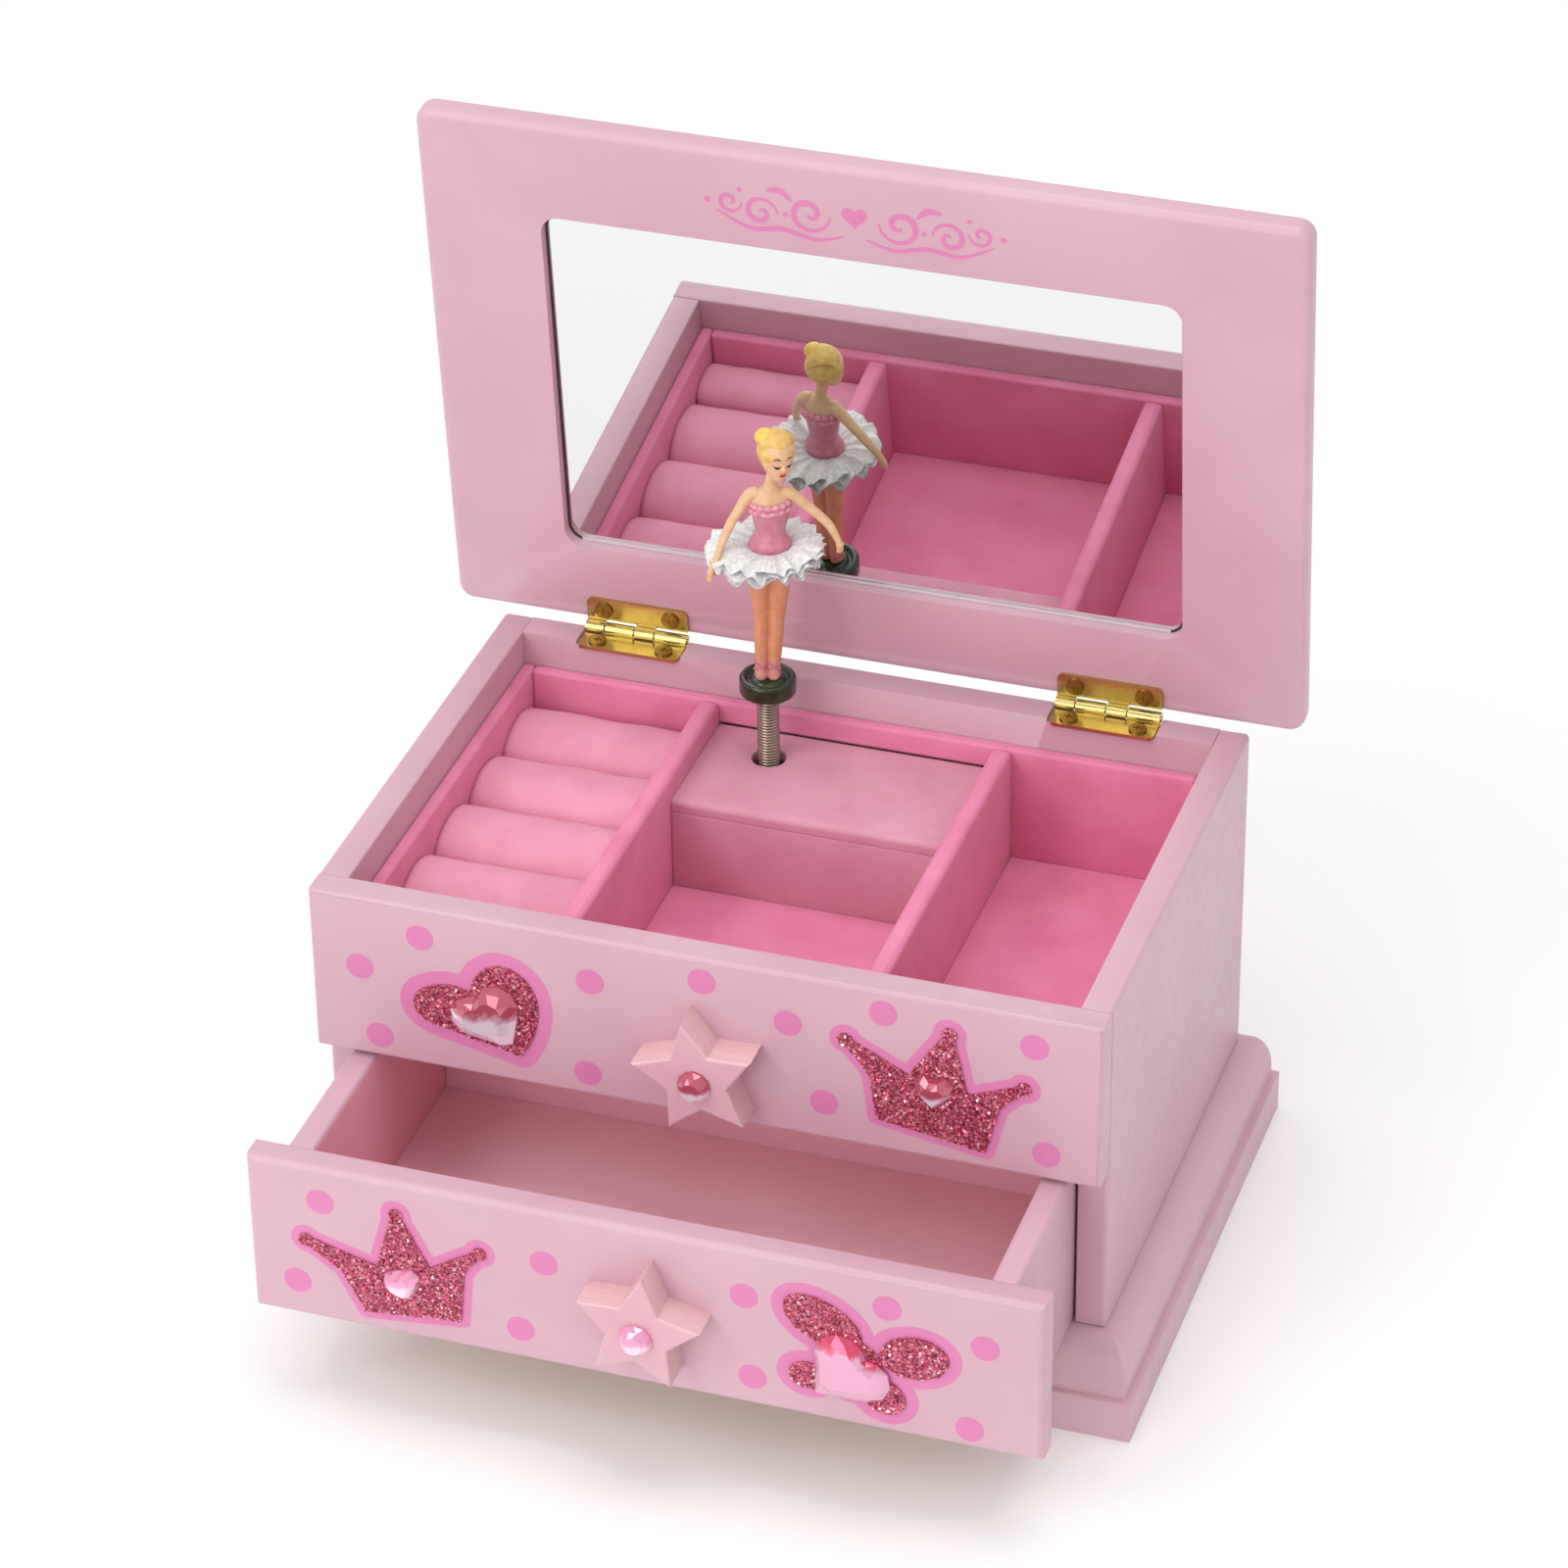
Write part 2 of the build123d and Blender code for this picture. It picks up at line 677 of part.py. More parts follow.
# Coil spring that carries the dancer: a stack of close coils round an open bore
coil_count = int((spring_z[1] - spring_z[0]) / coil_pitch)
coil_step = (spring_z[1] - spring_z[0]) / coil_count
with BuildPart() as ballerina_spring:
    with BuildSketch(Plane.XZ.offset(-spindle_y)):
        with BuildLine():
            Polyline(
                (spindle_x + spring_r - coil_step / 2, spring_z[1]),
                (spindle_x + spring_bore_r, spring_z[1]),
                (spindle_x + spring_bore_r, spring_z[0]),
                (spindle_x + spring_r - coil_step / 2, spring_z[0]),
            )
            for coil in range(coil_count):
                low_z = spring_z[0] + coil * coil_step
                ThreePointArc(
                    (spindle_x + spring_r - coil_step / 2, low_z),
                    (spindle_x + spring_r, low_z + coil_step / 2),
                    (spindle_x + spring_r - coil_step / 2, low_z + coil_step),
                )
        make_face()
    revolve(axis=Axis((spindle_x, spindle_y, 0), (0, 0, 1)))

feet_z = disc_z[1] - dish_depth
with BuildPart() as ballerina_disc:
    rod_z(spindle_x, spindle_y, disc_z, disc_r)
    fillet(ballerina_disc.edges(), 0.7)
    rod_z(spindle_x, spindle_y, (feet_z, disc_z[1]), dish_r, mode=Mode.SUBTRACT)
    rod_z(spindle_x, spindle_y, (disc_z[0] - peg_len, disc_z[0]), peg_r)

# The dancer, built in a frame that stands in the disc's dish and faces the front right
turn = radians(figure_turn)
figure_plane = Plane(
    origin=(spindle_x, spindle_y, feet_z), x_dir=(cos(turn), sin(turn), 0), z_dir=(0, 0, 1)
)
with BuildPart() as figure_blank:
    for side in (-1, 1):
        limb((side * 0.95, 0, 0.9), (side * 1.05, 0, 4.0), 0.9, 1.0)
        limb((side * 1.05, 0, 4.0), (side * 1.25, 0, 13.0), 1.0, 1.35)
        limb((side * 1.25, 0, 13.0), (side * 1.55, 0, 24.0), 1.35, 1.7)
    with BuildSketch(Plane.XY.offset(22.5)):
        Circle(3.2)
    with BuildSketch(Plane.XY.offset(24.0)):
        Circle(hip_r)
    with BuildSketch(Plane.XY.offset(26.6)):
        Circle(hip_r)
    loft(ruled=True)
    for low, high, low_r, high_r in ((26.6, 31.0, 3.6, 2.35), (31.0, 36.0, 2.35, 3.0)):
        with BuildSketch(Plane.XY.offset(low)):
            Ellipse(low_r, low_r * 0.8)
        with BuildSketch(Plane.XY.offset(high)):
            Ellipse(high_r, high_r * 0.8)
        loft()
    limb((-2.4, 0, 37.6), (2.4, 0, 37.6), 1.5, 1.45)
    limb((0, 0, 36.0), (0, -0.2, 42.0), 1.9, 1.1)
    limb((-3.0, 0, 38.2), (-7.0, -2.4, 31.0), 1.15, 0.85)
    limb((-7.0, -2.4, 31.0), (-10.4, -5.6, 23.6), 0.85, 0.75)
    limb((3.0, 0, 38.2), (9.4, -0.6, 31.4), 1.15, 0.85)
    limb((9.4, -0.6, 31.4), (12.7, -1.2, 26.2), 0.85, 0.75)
    with Locations((0.3, -0.6, 45.4)):
        Sphere(3.5)
    with Locations((0.3, 0.3, 46.4)):
        Sphere(3.9)
    with Locations((-0.9, 1.6, 49.4)):
        Sphere(1.7)

with BuildPart() as ballerina_figure:
    add(figure_blank.part.moved(Location(figure_plane)))

with BuildPart() as ballerina_tutu:
    tutu_z = feet_z + tutu_h
    with BuildSketch(Plane.XZ.offset(-spindle_y)):
        with BuildLine():
            Spline(
                (spindle_x + hip_r + 0.05, tutu_z + 1.2),
                (spindle_x + 7.0, tutu_z + 1.9),
                (spindle_x + tutu_r, tutu_z + 1.0),
            )
            Spline(
                (spindle_x + tutu_r, tutu_z + 1.0),
                (spindle_x + tutu_r - 0.2, tutu_z - 1.4),
                (spindle_x + 7.0, tutu_z - 1.6),
                (spindle_x + hip_r + 0.05, tutu_z - 1.0),
            )
            Line(
                (spindle_x + hip_r + 0.05, tutu_z - 1.0), (spindle_x + hip_r + 0.05, tutu_z + 1.2)
            )
        make_face()
    revolve(axis=Axis((spindle_x, spindle_y, 0), (0, 0, 1)))
    add(ballerina_figure.part, mode=Mode.SUBTRACT)

# Movement: bedplate with its bearing walls, and a bracket in front for spindle and cylinder
collar_z = (67.2, 68.2)
with BuildPart() as spindle:
    rod_z(spindle_x, spindle_y, (54.9, spring_z[0]), 1.0)
    rod_z(spindle_x, spindle_y, collar_z, 1.9)
    rod_z(spindle_x, spindle_y, (spring_z[0], 74.5), peg_r)
    mesh_z = barrel_z + crown_r
    with BuildSketch(Plane.XY.offset(mesh_z - pinion_face / 2)):
        with Locations((spindle_x, spindle_y)):
            Polygon(*gear_outline(pinion_teeth, crown_module, 15), align=None)
    extrude(amount=pinion_face)

wall_x = (23.4, 24.6)
inner_wall_x = (17.4, 18.4)
with BuildPart() as movement_bedplate:
    block((-25.9, wall_x[1]), (plate_y, inner_y), (31.5, 70.0))
    block(wall_x, (24.5, plate_y), (46.0, 68.2))
    block(inner_wall_x, (25.8, plate_y), (59.6, 68.2))
    block((-2.0, 18.0), (train_y + comb_t / 2 + 0.05, plate_y), (31.5, 36.0))
    rod_x(wall_x, train_y, barrel_z, 0.85, mode=Mode.SUBTRACT)
    for y, z in ((governor_y, governor_z), (fan_y, fan_z)):
        rod_x((inner_wall_x[0], wall_x[1]), y, z, 0.55, mode=Mode.SUBTRACT)
    rod_y(barrel_x, (plate_y, inner_y), barrel_z, arbor_r + arbor_clear, mode=Mode.SUBTRACT)
    for x, z in movement_screw_spots:
        rod_y(x, (plate_y, inner_y), z, screw_shank_r, mode=Mode.SUBTRACT)
    for x in (1.0, 8.0, 15.0):
        rod_y(x, (train_y, plate_y - 4), 33.8, screw_shank_r, mode=Mode.SUBTRACT)

with BuildPart() as movement_bracket:
    block((-20.0, -8.5), (23.4, plate_y), (65.6, 67.0))
    block((-20.0, -8.5), (23.4, 24.8), (47.0, 65.6))
    block((-18.0, -10.4), (24.8, 34.3), (55.6, 56.8))
    block((-9.7, -8.5), (24.8, 34.3), (49.0, 55.0))
    rod_z(spindle_x, spindle_y, (55.6, 67.0), 1.05, mode=Mode.SUBTRACT)
    rod_x((-9.7, -8.5), train_y, barrel_z, 0.85, mode=Mode.SUBTRACT)

# Mainspring barrel with crown teeth on its front face
crown_root_y = crown_pitch_y + dedendum * crown_module
crown_tip_y = crown_pitch_y - addendum * crown_module
crown_disc_t = 1.2
drum_y = (crown_root_y + crown_disc_t, plate_y - 0.5)
tooth_pitch = crown_module * pi
with BuildPart() as mainspring_barrel:
    rod_y(barrel_x, (crown_root_y, drum_y[0]), barrel_z, crown_rim[1])
    rod_y(barrel_x, drum_y, barrel_z, 9.6)
    rod_y(barrel_x, drum_y, barrel_z, 9.0, mode=Mode.SUBTRACT)
    for tooth in range(crown_teeth):
        angle = tooth * 2 * pi / crown_teeth
        tooth_plane = Plane(
            origin=(
                barrel_x + crown_rim[0] * cos(angle),
                crown_root_y,
                barrel_z + crown_rim[0] * sin(angle),
            ),
            x_dir=(-sin(angle), 0, cos(angle)),
            z_dir=(cos(angle), 0, sin(angle)),
        )
        tooth_h = crown_root_y - crown_tip_y
        with BuildSketch(tooth_plane):
            Polygon(
                (-tooth_root * tooth_pitch, 0),
                (-tooth_tip * tooth_pitch, tooth_h),
                (tooth_tip * tooth_pitch, tooth_h),
                (tooth_root * tooth_pitch, 0),
                align=None,
            )
    extrude(amount=crown_rim[1] - crown_rim[0])
    rod_y(barrel_x, (crown_root_y, drum_y[1]), barrel_z, arbor_r + arbor_clear, mode=Mode.SUBTRACT)

# Mainspring: a flat strip wound in a spiral inside the drum
spiral_turns = 5
with BuildPart() as mainspring:
    with BuildSketch(Plane.XZ.offset(-drum_y[1] + 0.2)):
        with BuildLine():
            spiral = [
                (
                    barrel_x + (2.3 + 1.28 * step / 12) * cos(step * pi / 6),
                    barrel_z + (2.3 + 1.28 * step / 12) * sin(step * pi / 6),
                )
                for step in range(12 * spiral_turns + 1)
            ]
            Spline(*spiral)
        trace(line_width=0.3)
    extrude(amount=drum_y[1] - drum_y[0] - 0.4)

with BuildPart() as winding_arbor:
    rod_y(barrel_x, (crown_tip_y + 0.5, 56.5), barrel_z, arbor_r)

key_y = (50.5, 57.0)
with BuildPart() as winding_key:
    rod_y(barrel_x, key_y, barrel_z, 3.2)
    with BuildSketch(Plane.XY.offset(barrel_z - 0.8)):
        with Locations((barrel_x, 57.4)):
            Rectangle(9.0, 3.6)
        with Locations((barrel_x - 6.4, 60.2), (barrel_x + 6.4, 60.2)):
            Circle(5.6)
            Circle(2.5, mode=Mode.SUBTRACT)
        with Locations((barrel_x, 60.2)):
            Rectangle(3.4, 3.0)
    extrude(amount=1.6)
    fillet(winding_key.faces().sort_by(Axis.Z)[-1].edges(), 0.3)
    rod_y(barrel_x, (key_y[0], 56.5), barrel_z, arbor_r, mode=Mode.SUBTRACT)

# Pinned cylinder on its arbor, with the pinion that the crown drives and the governor wheel
mesh_x = barrel_x + crown_r
governor_mesh_x = (19.6, 20.4)
with BuildPart() as cylinder_arbor:
    rod_x((-9.6, 24.4), train_y, barrel_z, 0.8)
    pinion_x = (mesh_x - pinion_face / 2, mesh_x + pinion_face / 2)
    gear_x(pinion_x, train_y, barrel_z, pinion_teeth, crown_module, 15)
    gear_x(
        governor_mesh_x, train_y, barrel_z, cylinder_wheel_teeth, fine_module, governor_angle
    )

note_pitch = (cylinder_x[1] - cylinder_x[0]) / note_count
with BuildPart() as music_cylinder:
    rod_x(cylinder_x, train_y, barrel_z, cylinder_r)
    for note in range(note_count):
        for strike in range(3):
            angle = 2 * pi * ((note * 7 + strike * 11) % 31) / 31
            pin_plane = Plane(
                origin=(
                    cylinder_x[0] + (note + 0.5) * note_pitch,
                    train_y + (cylinder_r - 0.2) * cos(angle),
                    barrel_z + (cylinder_r - 0.2) * sin(angle),
                ),
                x_dir=(1, 0, 0),
                z_dir=(0, cos(angle), sin(angle)),
            )
            with BuildSketch(pin_plane):
                Circle(0.2)
    extrude(amount=pin_stand + 0.2)
    rod_x(cylinder_x, train_y, barrel_z, 0.8, mode=Mode.SUBTRACT)

# Tuned steel comb below the cylinder
comb_tip_z = barrel_z - cylinder_r - pin_stand - 0.15
comb_y = (train_y - comb_t / 2, train_y + comb_t / 2)
with BuildPart() as comb:
    block((cylinder_x[0] - 0.8, cylinder_x[1] + 0.8), comb_y, (31.5, comb_tip_z))
    for note in range(note_count + 1):
        gap_x = cylinder_x[0] + note * note_pitch
        slot = (gap_x - comb_gap / 2, gap_x + comb_gap / 2)
        block(slot, comb_y, (36.5, comb_tip_z), mode=Mode.SUBTRACT)
    for x in (1.0, 8.0, 15.0):
        rod_y(x, comb_y, 33.8, screw_shank_r, mode=Mode.SUBTRACT)

with BuildPart() as movement_screws:
    for x, z in movement_screw_spots:
        rod_y(x, (plate_y - 1.0, plate_y), z, screw_head_r)
        rod_y(x, (plate_y, inner_y + 3), z, screw_shank_r)
    for x in (1.0, 8.0, 15.0):
        rod_y(x, (comb_y[0] - 1.0, comb_y[0]), 33.8, screw_head_r)
        rod_y(x, (comb_y[0], plate_y - 4), 33.8, screw_shank_r)

# Governor: a wheel and a fan that hold the speed down
with BuildPart() as governor_wheel:
    rod_x((inner_wall_x[0], 24.4), governor_y, governor_z, 0.5)
    pinion_first = governor_angle + 180 + 180 / small_pinion_teeth
    gear_x((19.2, 20.8), governor_y, governor_z, small_pinion_teeth, fine_module, pinion_first)
    gear_x((21.8, 22.4), governor_y, governor_z, governor_teeth, fine_module, fan_angle)

with BuildPart() as governor_fan:
    rod_x((7.6, 24.4), fan_y, fan_z, 0.5)
    fan_first = fan_angle + 180 + 180 / small_pinion_teeth
    gear_x((21.5, 22.7), fan_y, fan_z, small_pinion_teeth, fine_module, fan_first)
    block((8.0, 16.4), (fan_y - 4.0, fan_y + 4.0), (fan_z - 0.3, fan_z + 0.3))

pieces = {
    "plinth_base": plinth_base,
    "case_left_side": case_left_side,
    "case_right_side": case_right_side,
    "case_back": case_back,
    "upper_front_panel": upper_front_panel,
    "tray_floor": tray_floor,
    "lining_left": lining_left,
    "lining_right": lining_right,
    "lining_front": lining_front,
    "lining_back": lining_back,
    "divider_left": divider_left,
    "divider_right": divider_right,
    "deck_top": deck_top,
    "deck_riser": deck_riser,
    "compartment_floor_pads": compartment_floor_pads,
    "ring_rolls": ring_rolls,
    "lid_board": lid_board,
    "mirror_glass": mirror_glass,
    "hinge_case_leaves": hinge_case_leaves,
    "hinge_lid_leaves": hinge_lid_leaves,
    "hinge_pins": hinge_pins,
    "hinge_case_screws": hinge_case_screws,
    "hinge_lid_screws": hinge_lid_screws,
    "drawer_front": drawer_front,
    "drawer_left_side": drawer_left_side,
    "drawer_right_side": drawer_right_side,
    "drawer_back": drawer_back,
    "drawer_bottom": drawer_bottom,
    "drawer_floor_pad": drawer_floor_pad,
    "star_knob_upper": star_knob_upper,
    "star_knob_drawer": star_knob_drawer,
    "gem_star_upper": gem_star_upper,
    "gem_star_drawer": gem_star_drawer,
    "glitter_heart": glitter_heart,
    "glitter_crown_upper": glitter_crown_upper,
    "glitter_crown_drawer": glitter_crown_drawer,
    "glitter_butterfly": glitter_butterfly,
    "gem_heart": gem_heart,
    "gem_crown_upper": gem_crown_upper,
    "gem_crown_drawer": gem_crown_drawer,
    "gem_butterfly": gem_butterfly,
    "ballerina_spring": ballerina_spring,
    "ballerina_disc": ballerina_disc,
    "ballerina_figure": ballerina_figure,
    "ballerina_tutu": ballerina_tutu,
    "spindle": spindle,
    "movement_bedplate": movement_bedplate,
    "movement_bracket": movement_bracket,
    "movement_screws": movement_screws,
    "mainspring_barrel": mainspring_barrel,
    "mainspring": mainspring,
    "winding_arbor": winding_arbor,
    "winding_key": winding_key,
    "cylinder_arbor": cylinder_arbor,
    "music_cylinder": music_cylinder,
    "comb": comb,
    "governor_wheel": governor_wheel,
    "governor_fan": governor_fan,
}

os.makedirs("parts", exist_ok=True)
for node, piece in pieces.items():
    piece.part.label = node
    export_step(piece.part, f"parts/{node}.step")
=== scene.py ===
"""Ballerina jewellery box: the looks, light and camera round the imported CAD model. Metres."""

import json
from math import atan2, cos, exp, pi, radians, sin

import bmesh
import bpy
from mathutils import Matrix, Vector, geometry, noise
from mathutils.bvhtree import BVHTree

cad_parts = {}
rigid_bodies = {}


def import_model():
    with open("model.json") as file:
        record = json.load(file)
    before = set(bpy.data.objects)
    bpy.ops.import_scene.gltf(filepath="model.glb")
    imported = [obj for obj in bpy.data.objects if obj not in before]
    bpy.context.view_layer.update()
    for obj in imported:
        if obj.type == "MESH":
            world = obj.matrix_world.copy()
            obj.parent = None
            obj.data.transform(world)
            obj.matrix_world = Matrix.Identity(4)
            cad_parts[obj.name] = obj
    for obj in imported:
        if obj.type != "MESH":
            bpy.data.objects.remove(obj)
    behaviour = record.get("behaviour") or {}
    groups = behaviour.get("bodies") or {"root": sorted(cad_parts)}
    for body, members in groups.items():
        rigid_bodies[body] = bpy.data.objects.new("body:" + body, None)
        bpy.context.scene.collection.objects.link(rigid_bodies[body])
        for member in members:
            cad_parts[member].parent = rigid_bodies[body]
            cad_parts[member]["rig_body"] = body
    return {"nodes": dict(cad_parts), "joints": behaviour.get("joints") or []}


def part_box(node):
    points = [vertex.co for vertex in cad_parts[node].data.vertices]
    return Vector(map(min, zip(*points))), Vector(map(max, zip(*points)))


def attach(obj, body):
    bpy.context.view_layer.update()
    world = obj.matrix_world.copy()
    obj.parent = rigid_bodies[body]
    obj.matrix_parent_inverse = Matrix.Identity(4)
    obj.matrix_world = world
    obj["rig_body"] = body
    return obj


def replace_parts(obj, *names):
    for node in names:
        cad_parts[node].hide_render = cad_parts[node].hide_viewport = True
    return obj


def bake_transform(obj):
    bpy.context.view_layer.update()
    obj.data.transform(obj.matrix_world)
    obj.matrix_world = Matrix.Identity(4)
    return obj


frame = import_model()
nodes = frame["nodes"]
joints = {joint["name"]: joint for joint in frame["joints"]}
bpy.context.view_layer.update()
MM = 0.001

# -------- mesh helpers


def mm(x, y, z):
    """A point given in millimetres."""
    return Vector((x, y, z)) * MM


def circle(count, radius=1.0, start=0.0):
    """Points round a circle, as (x, y)."""
    turns = [start + 2 * pi * k / count for k in range(count)]
    return [(radius * cos(turn), radius * sin(turn)) for turn in turns]


def linked(name, data):
    """A new object in the scene."""
    obj = bpy.data.objects.new(name, data)
    bpy.context.scene.collection.objects.link(obj)
    return obj


def piece(name, verts, faces, mat, body, smooth=True):
    """A new mesh object on a CAD body."""
    mesh = bpy.data.meshes.new(name)
    mesh.from_pydata([tuple(v) for v in verts], [], faces)
    mesh.update()
    obj = linked(name, mesh)
    mesh.materials.append(mat)
    mesh.shade_smooth() if smooth else mesh.shade_flat()
    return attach(obj, body) if body else obj


def finish_node(name, mat):
    """A CAD node that is shown as it is, with a finish."""
    materials = nodes[name].data.materials
    materials.clear()
    materials.append(mat)


def softened(name, mat, round_mm, segments=3, inner=None, inwards=None):
    """A board that stands for its CAD node, with its edges eased as paint or flock leaves them.

    Faces that look the inwards way take the inner finish.
    """
    source = nodes[name]
    bm = bmesh.new()
    bm.from_mesh(source.data)
    bmesh.ops.remove_doubles(bm, verts=bm.verts, dist=1e-6)
    bmesh.ops.dissolve_limit(bm, angle_limit=radians(1), verts=bm.verts, edges=bm.edges)
    mesh = bpy.data.meshes.new(name + "_finish")
    bm.to_mesh(mesh)
    bm.free()
    obj = linked(name + "_finish", mesh)
    mesh.materials.append(mat)
    if inner:
        mesh.materials.append(inner)
        for face in mesh.polygons:
            face.material_index = 1 if face.normal.dot(Vector(inwards)) > 0.9 else 0
    mesh.shade_smooth()
    ease = obj.modifiers.new("ease", "BEVEL")
    ease.width = round_mm * MM
    ease.segments = segments
    ease.limit_method = "ANGLE"
    ease.angle_limit = radians(35)
    ease.harden_normals = True
    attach(obj, source["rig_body"])
    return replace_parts(obj, name)


def smooth_line(points, steps):
    """Points along a Catmull-Rom curve through the given ones."""
    pts = [Vector(p) for p in points]
    last = len(pts) - 1
    line = []
    for i in range(last):
        a, b, c, d = (pts[min(max(i + k, 0), last)] for k in (-1, 0, 1, 2))
        square, cube = 2 * a - 5 * b + 4 * c - d, 3 * b - a - 3 * c + d
        for step in range(steps):
            t = step / steps
            line.append(0.5 * (2 * b + (c - a) * t + square * t**2 + cube * t**3))
    return [*line, pts[-1]]


def bands(rings, around, closed=False, capped=False, flip=False):
    """Faces between rings of points that follow each other, each ring closed on itself."""
    faces = []
    for i in range(rings if closed else rings - 1):
        a, b = i * around, (i + 1) % rings * around
        for k in range(around):
            n = (k + 1) % around
            faces.append((a + k, b + k, b + n, a + n) if flip else (a + k, a + n, b + n, b + k))
    if capped:
        ends = tuple(range(around)), tuple((rings - 1) * around + k for k in range(around))
        faces += [ends[0], ends[1][::-1]] if flip else [ends[0][::-1], ends[1]]
    return faces


def tube_data(path, radii, sides=12, closed=False):
    """Vertices and faces of a round tube along a path; radii has one value or one per point."""
    count = len(path)
    if not hasattr(radii, "__len__"):
        radii = [radii] * count
    verts = []
    side = None
    for i, point in enumerate(path):
        ahead = path[(i + 1) % count] if closed or i < count - 1 else point
        behind = path[i - 1] if closed or i > 0 else point
        along = (ahead - behind).normalized()
        if side is None:
            side = along.orthogonal().normalized()
        side = (side - along * side.dot(along)).normalized()
        other = along.cross(side)
        verts += [point + (side * c + other * s) * radii[i] for c, s in circle(sides)]
    return verts, bands(count, sides, closed, capped=not closed)


def joined(parts):
    """Several (vertices, faces) as one."""
    verts, faces = [], []
    for part_verts, part_faces in parts:
        start = len(verts)
        verts += part_verts
        faces += [tuple(start + i for i in face) for face in part_faces]
    return verts, faces


def turned(profile, centre, sides=64):
    """Vertices and faces of a solid of revolution; the profile is (radius, z) in mm, ends on the axis."""
    verts = []
    for radius, z in profile:
        verts += [centre + mm(x, y, z) for x, y in circle(sides, radius)]
    return verts, bands(len(profile), sides)


# -------- materials


def srgb(red, green, blue):
    """A colour given as 0 to 255 values, in linear light."""
    linear = []
    for value in (red, green, blue):
        v = value / 255
        linear.append(v / 12.92 if v <= 0.04045 else ((v + 0.055) / 1.055) ** 2.4)
    return (*linear, 1)


class Finish:
    """A Principled material and the few node patterns the finishes are made of; colours are 0 to 255."""

    def __init__(self, name, colour, roughness, **sockets):
        self.mat = bpy.data.materials.new(name)
        self.mat.use_nodes = True
        self.tree = self.mat.node_tree
        self.shader = self.tree.nodes["Principled BSDF"]
        self.shader.inputs["Base Color"].default_value = srgb(*colour)
        self.shader.inputs["Roughness"].default_value = roughness
        for key, value in sockets.items():
            self.shader.inputs[key.replace("_", " ")].default_value = value
        self.place = self.tree.nodes.new("ShaderNodeTexCoord")

    def node(self, kind, **settings):
        made = self.tree.nodes.new(kind)
        for key, value in settings.items():
            if key in made.inputs:
                made.inputs[key].default_value = value
            else:
                setattr(made, key, value)
        return made

    def link(self, source, target):
        self.tree.links.new(source, target)

    def noise(self, scale, detail=3.0, stretch=(1, 1, 1)):
        """Fractal noise in the piece's own space; the scale is in features per metre."""
        mapping = self.node("ShaderNodeMapping")
        mapping.inputs["Scale"].default_value = stretch
        texture = self.node("ShaderNodeTexNoise", Scale=scale, Detail=detail)
        self.link(self.place.outputs["Object"], mapping.inputs["Vector"])
        self.link(mapping.outputs["Vector"], texture.inputs["Vector"])
        return texture.outputs["Fac"]

    def ramp(self, source, *stops):
        """A colour ramp; stops are (position, colour)."""
        made = self.node("ShaderNodeValToRGB")
        while len(made.color_ramp.elements) < len(stops):
            made.color_ramp.elements.new(0.5)
        for element, (position, colour) in zip(made.color_ramp.elements, stops):
            element.position = position
            element.color = srgb(*colour)
        self.link(source, made.inputs["Fac"])
        return made.outputs["Color"]

    def range(self, source, low, high, from_low=0.3, from_high=0.7):
        """A value stretched onto another range."""
        made = self.node("ShaderNodeMapRange")
        keys = ("From Min", "From Max", "To Min", "To Max")
        for key, value in zip(keys, (from_low, from_high, low, high)):
            made.inputs[key].default_value = value
        self.link(source, made.inputs["Value"])
        return made.outputs["Result"]

    def bump(self, source, height_mm, strength=1.0):
        """Relief from a pattern, added to any relief there already."""
        made = self.node("ShaderNodeBump", Strength=strength, Distance=height_mm * MM)
        self.link(source, made.inputs["Height"])
        before = self.shader.inputs["Normal"].links
        if before:
            self.link(before[0].from_socket, made.inputs["Normal"])
        self.link(made.outputs["Normal"], self.shader.inputs["Normal"])

    def mottle(self, scale, detail, low, high):
        """Two colours that drift into each other; low and high are (position, colour)."""
        self.colour(self.ramp(self.noise(scale, detail), low, high))

    def colour(self, source):
        self.link(source, self.shader.inputs["Base Color"])

    def rough(self, source):
        self.link(source, self.shader.inputs["Roughness"])


def paint_finish(name, colour, shade):
    """Sprayed satin paint on smooth board: a faint orange peel and slight drift of tone."""
    made = Finish(name, colour, 0.42, Specular_IOR_Level=0.42, Coat_Weight=0.12, Coat_Roughness=0.3)
    made.mottle(38, 4, (0.35, shade), (0.65, colour))
    made.rough(made.range(made.noise(420, 4), 0.36, 0.5))
    made.bump(made.noise(700, 2), 0.012)
    made.bump(made.noise(5200, 2), 0.004)
    return made


def ply_paint_finish():
    """Thin paint over plywood: the sawn edges show the layers as fine warm lines."""
    made = paint_finish("star_paint", (212, 168, 176), (207, 160, 170))
    top = made.shader.inputs["Base Color"].links[0].from_socket
    grain = made.noise(900, 5, (0.12, 2.6, 0.12))
    lines = made.ramp(grain, (0.42, (214, 172, 178)), (0.64, (220, 184, 180)))
    facing = made.node("ShaderNodeSeparateXYZ")
    made.link(made.place.outputs["Normal"], facing.inputs["Vector"])
    edge = made.range(facing.outputs["Y"], 0.0, 1.0, -0.9, -0.6)
    mix = made.node("ShaderNodeMix", data_type="RGBA")
    made.link(edge, mix.inputs[0])
    made.link(top, mix.inputs[6])
    made.link(lines, mix.inputs[7])
    made.colour(mix.outputs[2])
    made.bump(grain, 0.05, 0.6)
    return made


